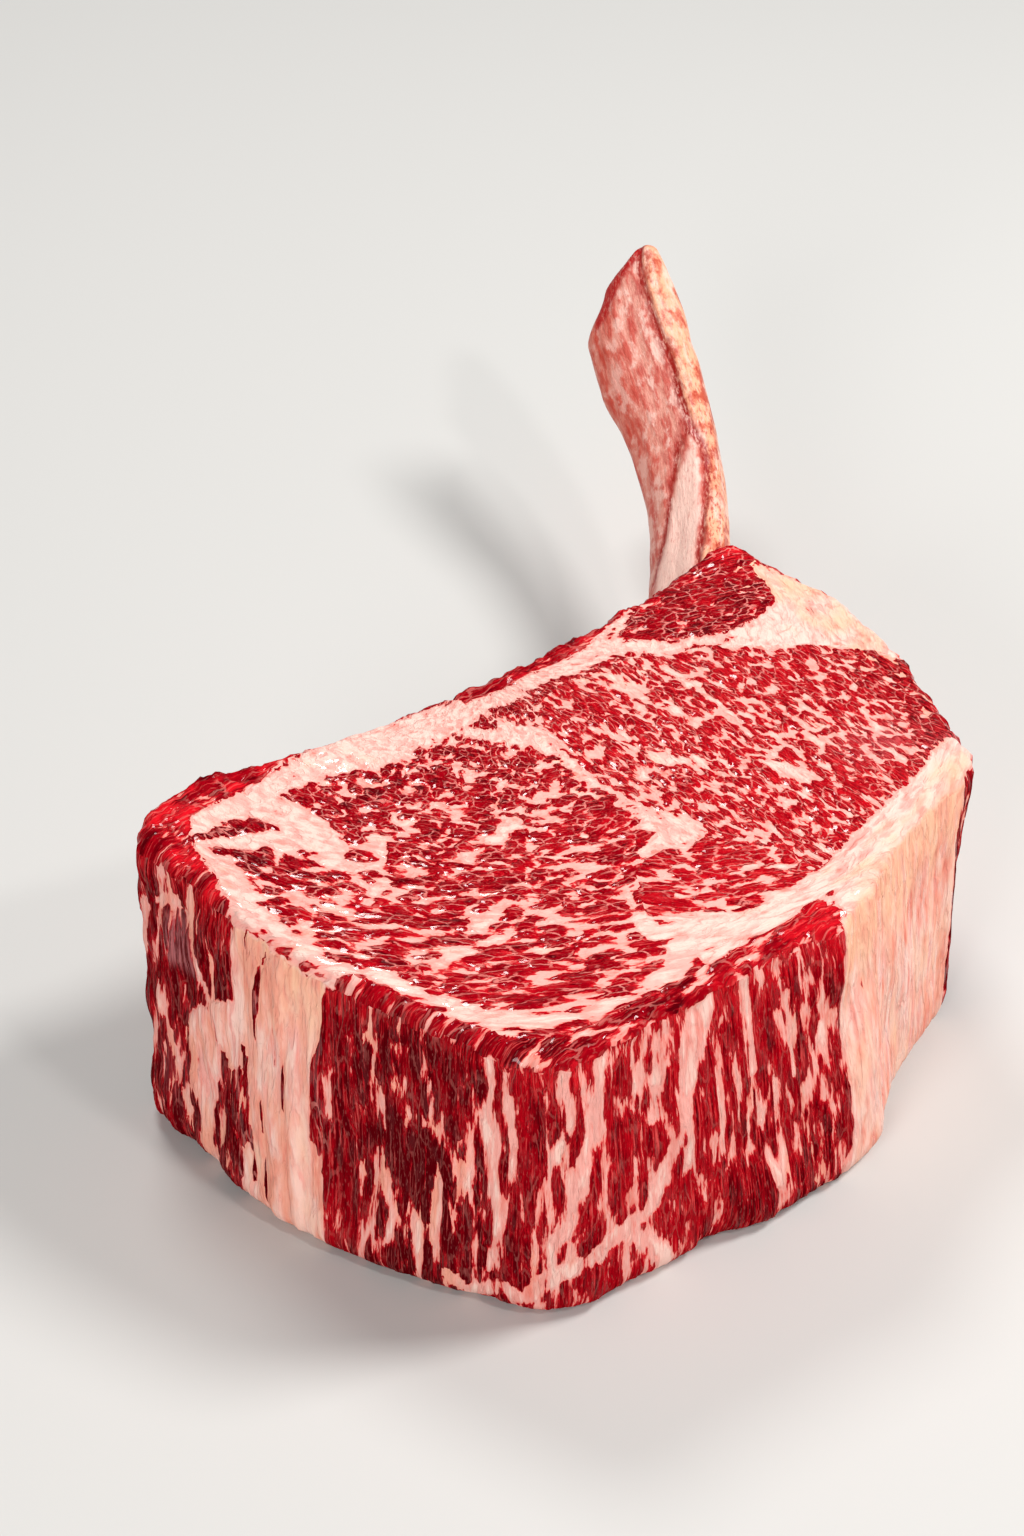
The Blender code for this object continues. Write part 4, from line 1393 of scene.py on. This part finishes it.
def makeBone():
    finish = boneFinish
    material, tree, shader = newPrincipled("scrapedBone", finish)
    place, marks = attributes(tree, "bonePlace", "boneMarks")
    length, across, _ = split(tree, place)
    crease, stain, bar = split(tree, marks)
    streaks, mottle, fine = noiseLayers(tree, place, finish, "3D")
    broken = {name: stepped(tree, fine, *limits) for name, limits in finish["breaks"].items()}

    base = linear(*finish["pale"])
    # the last layer, across the rib, is partly painted shade of its left part
    for value, name in ((streaks, "pinkStreaks"), (mottle, "redMottle"), (mottle, "paleMottle"),
                        (fine, "redSpecks"), (across, "rustAndPaintedShade")):
        base = laid(tree, finish, base, value, name)
    paleness = maths(tree, "MULTIPLY", stepped(tree, stain, 0.0, -1.0), broken["pale"])
    base = mixed(tree, paleness, base, linear(*finish["highlight"]))

    # the raised bar, with more specks further from the tip
    cream = laid(tree, finish, linear(*finish["cream"]), streaks, "barHighlight")
    cream = laid(tree, finish, cream, mottle, "barRust")
    tipEnd, farEnd, change, plain = finish["barSpecks"]
    specks = maths(tree, "MULTIPLY_ADD", stepped(tree, length, tipEnd, farEnd), change, plain)
    cream = mixed(tree, maths(tree, "MULTIPLY", broken["bar"], specks), cream, linear(*finish["red"]))
    base = mixed(tree, bar, base, cream)
    # painted shade: the creases along the ridge are darkened with a dark red
    creaseShadeMask = maths(tree, "MULTIPLY", crease, broken["crease"])
    base = mixed(tree, creaseShadeMask, base, linear(*finish["paintedCreaseShade"]))
    stains = maths(tree, "MULTIPLY", stepped(tree, stain, 0.0, 1.0), broken["stain"])
    base = mixed(tree, stains, base, linear(*finish["red"]))

    share = finish["bump"]
    height = maths(tree, "MULTIPLY_ADD", fine, share["fine"], streaks)
    height = maths(tree, "MULTIPLY_ADD", crease, share["crease"], height)
    dress(tree, shader, base, stepped(tree, streaks, *finish["roughness"]), height, share)
    return material


# Floor, light and camera, in metres.
stageSet = {
    "floorSize": 30.0,
    "floor": (205, 203, 199),
    "constants": {"Roughness": 0.8},  # of the floor
    "world": (0.9, 0.92, 0.95),
    "worldStrength": 0.16,
    "lamps": {
        # place, size, watts
        "keyBox": ((0.75, -0.42, 1.02), 0.35, 13.5),
        "topBox": ((0.25, 0.75, 1.15), 0.40, 8.0),
        "frontFill": ((-1.15, -0.55, 0.60), 0.6, 10.5),
        "glintBox": ((0.10, -0.85, 0.95), 0.12, 3.0),
    },
    "aim": (0.01, 0.01, 0.04),
    "cameraPlace": (-0.4853, -0.5283, 0.6031),
    "cameraLook": (0.056, 0.101, 0.0),
    "lens": 89.06,
    "sensor": 36.0,
    "clip": (0.05, 30.0),
}


def aimed(holder, place, target):
    holder.location = place
    look = Vector(target) - Vector(place)
    holder.rotation_euler = look.to_track_quat("-Z", "Y").to_euler()
    return holder


def makeStage():
    half = stageSet["floorSize"] / 2
    mesh = bpy.data.meshes.new("floor")
    corners = [(-half, -half, 0.0), (half, -half, 0.0), (half, half, 0.0), (-half, half, 0.0)]
    mesh.from_pydata(corners, [], [(0, 1, 2, 3)])
    material, _, shader = newPrincipled("paleFloor", stageSet)
    shader.inputs["Base Color"].default_value = linear(*stageSet["floor"])
    mesh.materials.append(material)
    placed("floor", mesh)

    world = bpy.data.worlds.new("studio")
    world.use_nodes = True
    background = world.node_tree.nodes["Background"]
    background.inputs["Color"].default_value = (*stageSet["world"], 1.0)
    background.inputs["Strength"].default_value = stageSet["worldStrength"]
    bpy.context.scene.world = world

    for name, (place, size, watts) in stageSet["lamps"].items():
        lamp = bpy.data.lights.new(name, "AREA")
        lamp.shape = "DISK"
        lamp.size = size
        lamp.energy = watts
        aimed(placed(name, lamp), place, stageSet["aim"])

    lens = bpy.data.cameras.new("camera")
    lens.sensor_fit = "VERTICAL"
    lens.sensor_height = stageSet["sensor"]
    lens.lens = stageSet["lens"]
    lens.clip_start, lens.clip_end = stageSet["clip"]
    camera = aimed(placed("camera", lens), stageSet["cameraPlace"], stageSet["cameraLook"])
    bpy.context.scene.camera = camera
    bpy.context.scene.view_settings.view_transform = "Standard"
    print("stage set")


meat = makeMeat()
raiseMarbling(meat)
meat.data.materials.clear()
meat.data.materials.append(makeBeef())
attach(meat, "root")
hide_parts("meat")

rib = makeRib()
rib.data.materials.append(makeBone())
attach(rib, "root")
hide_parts("rib_bone")

makeStage()
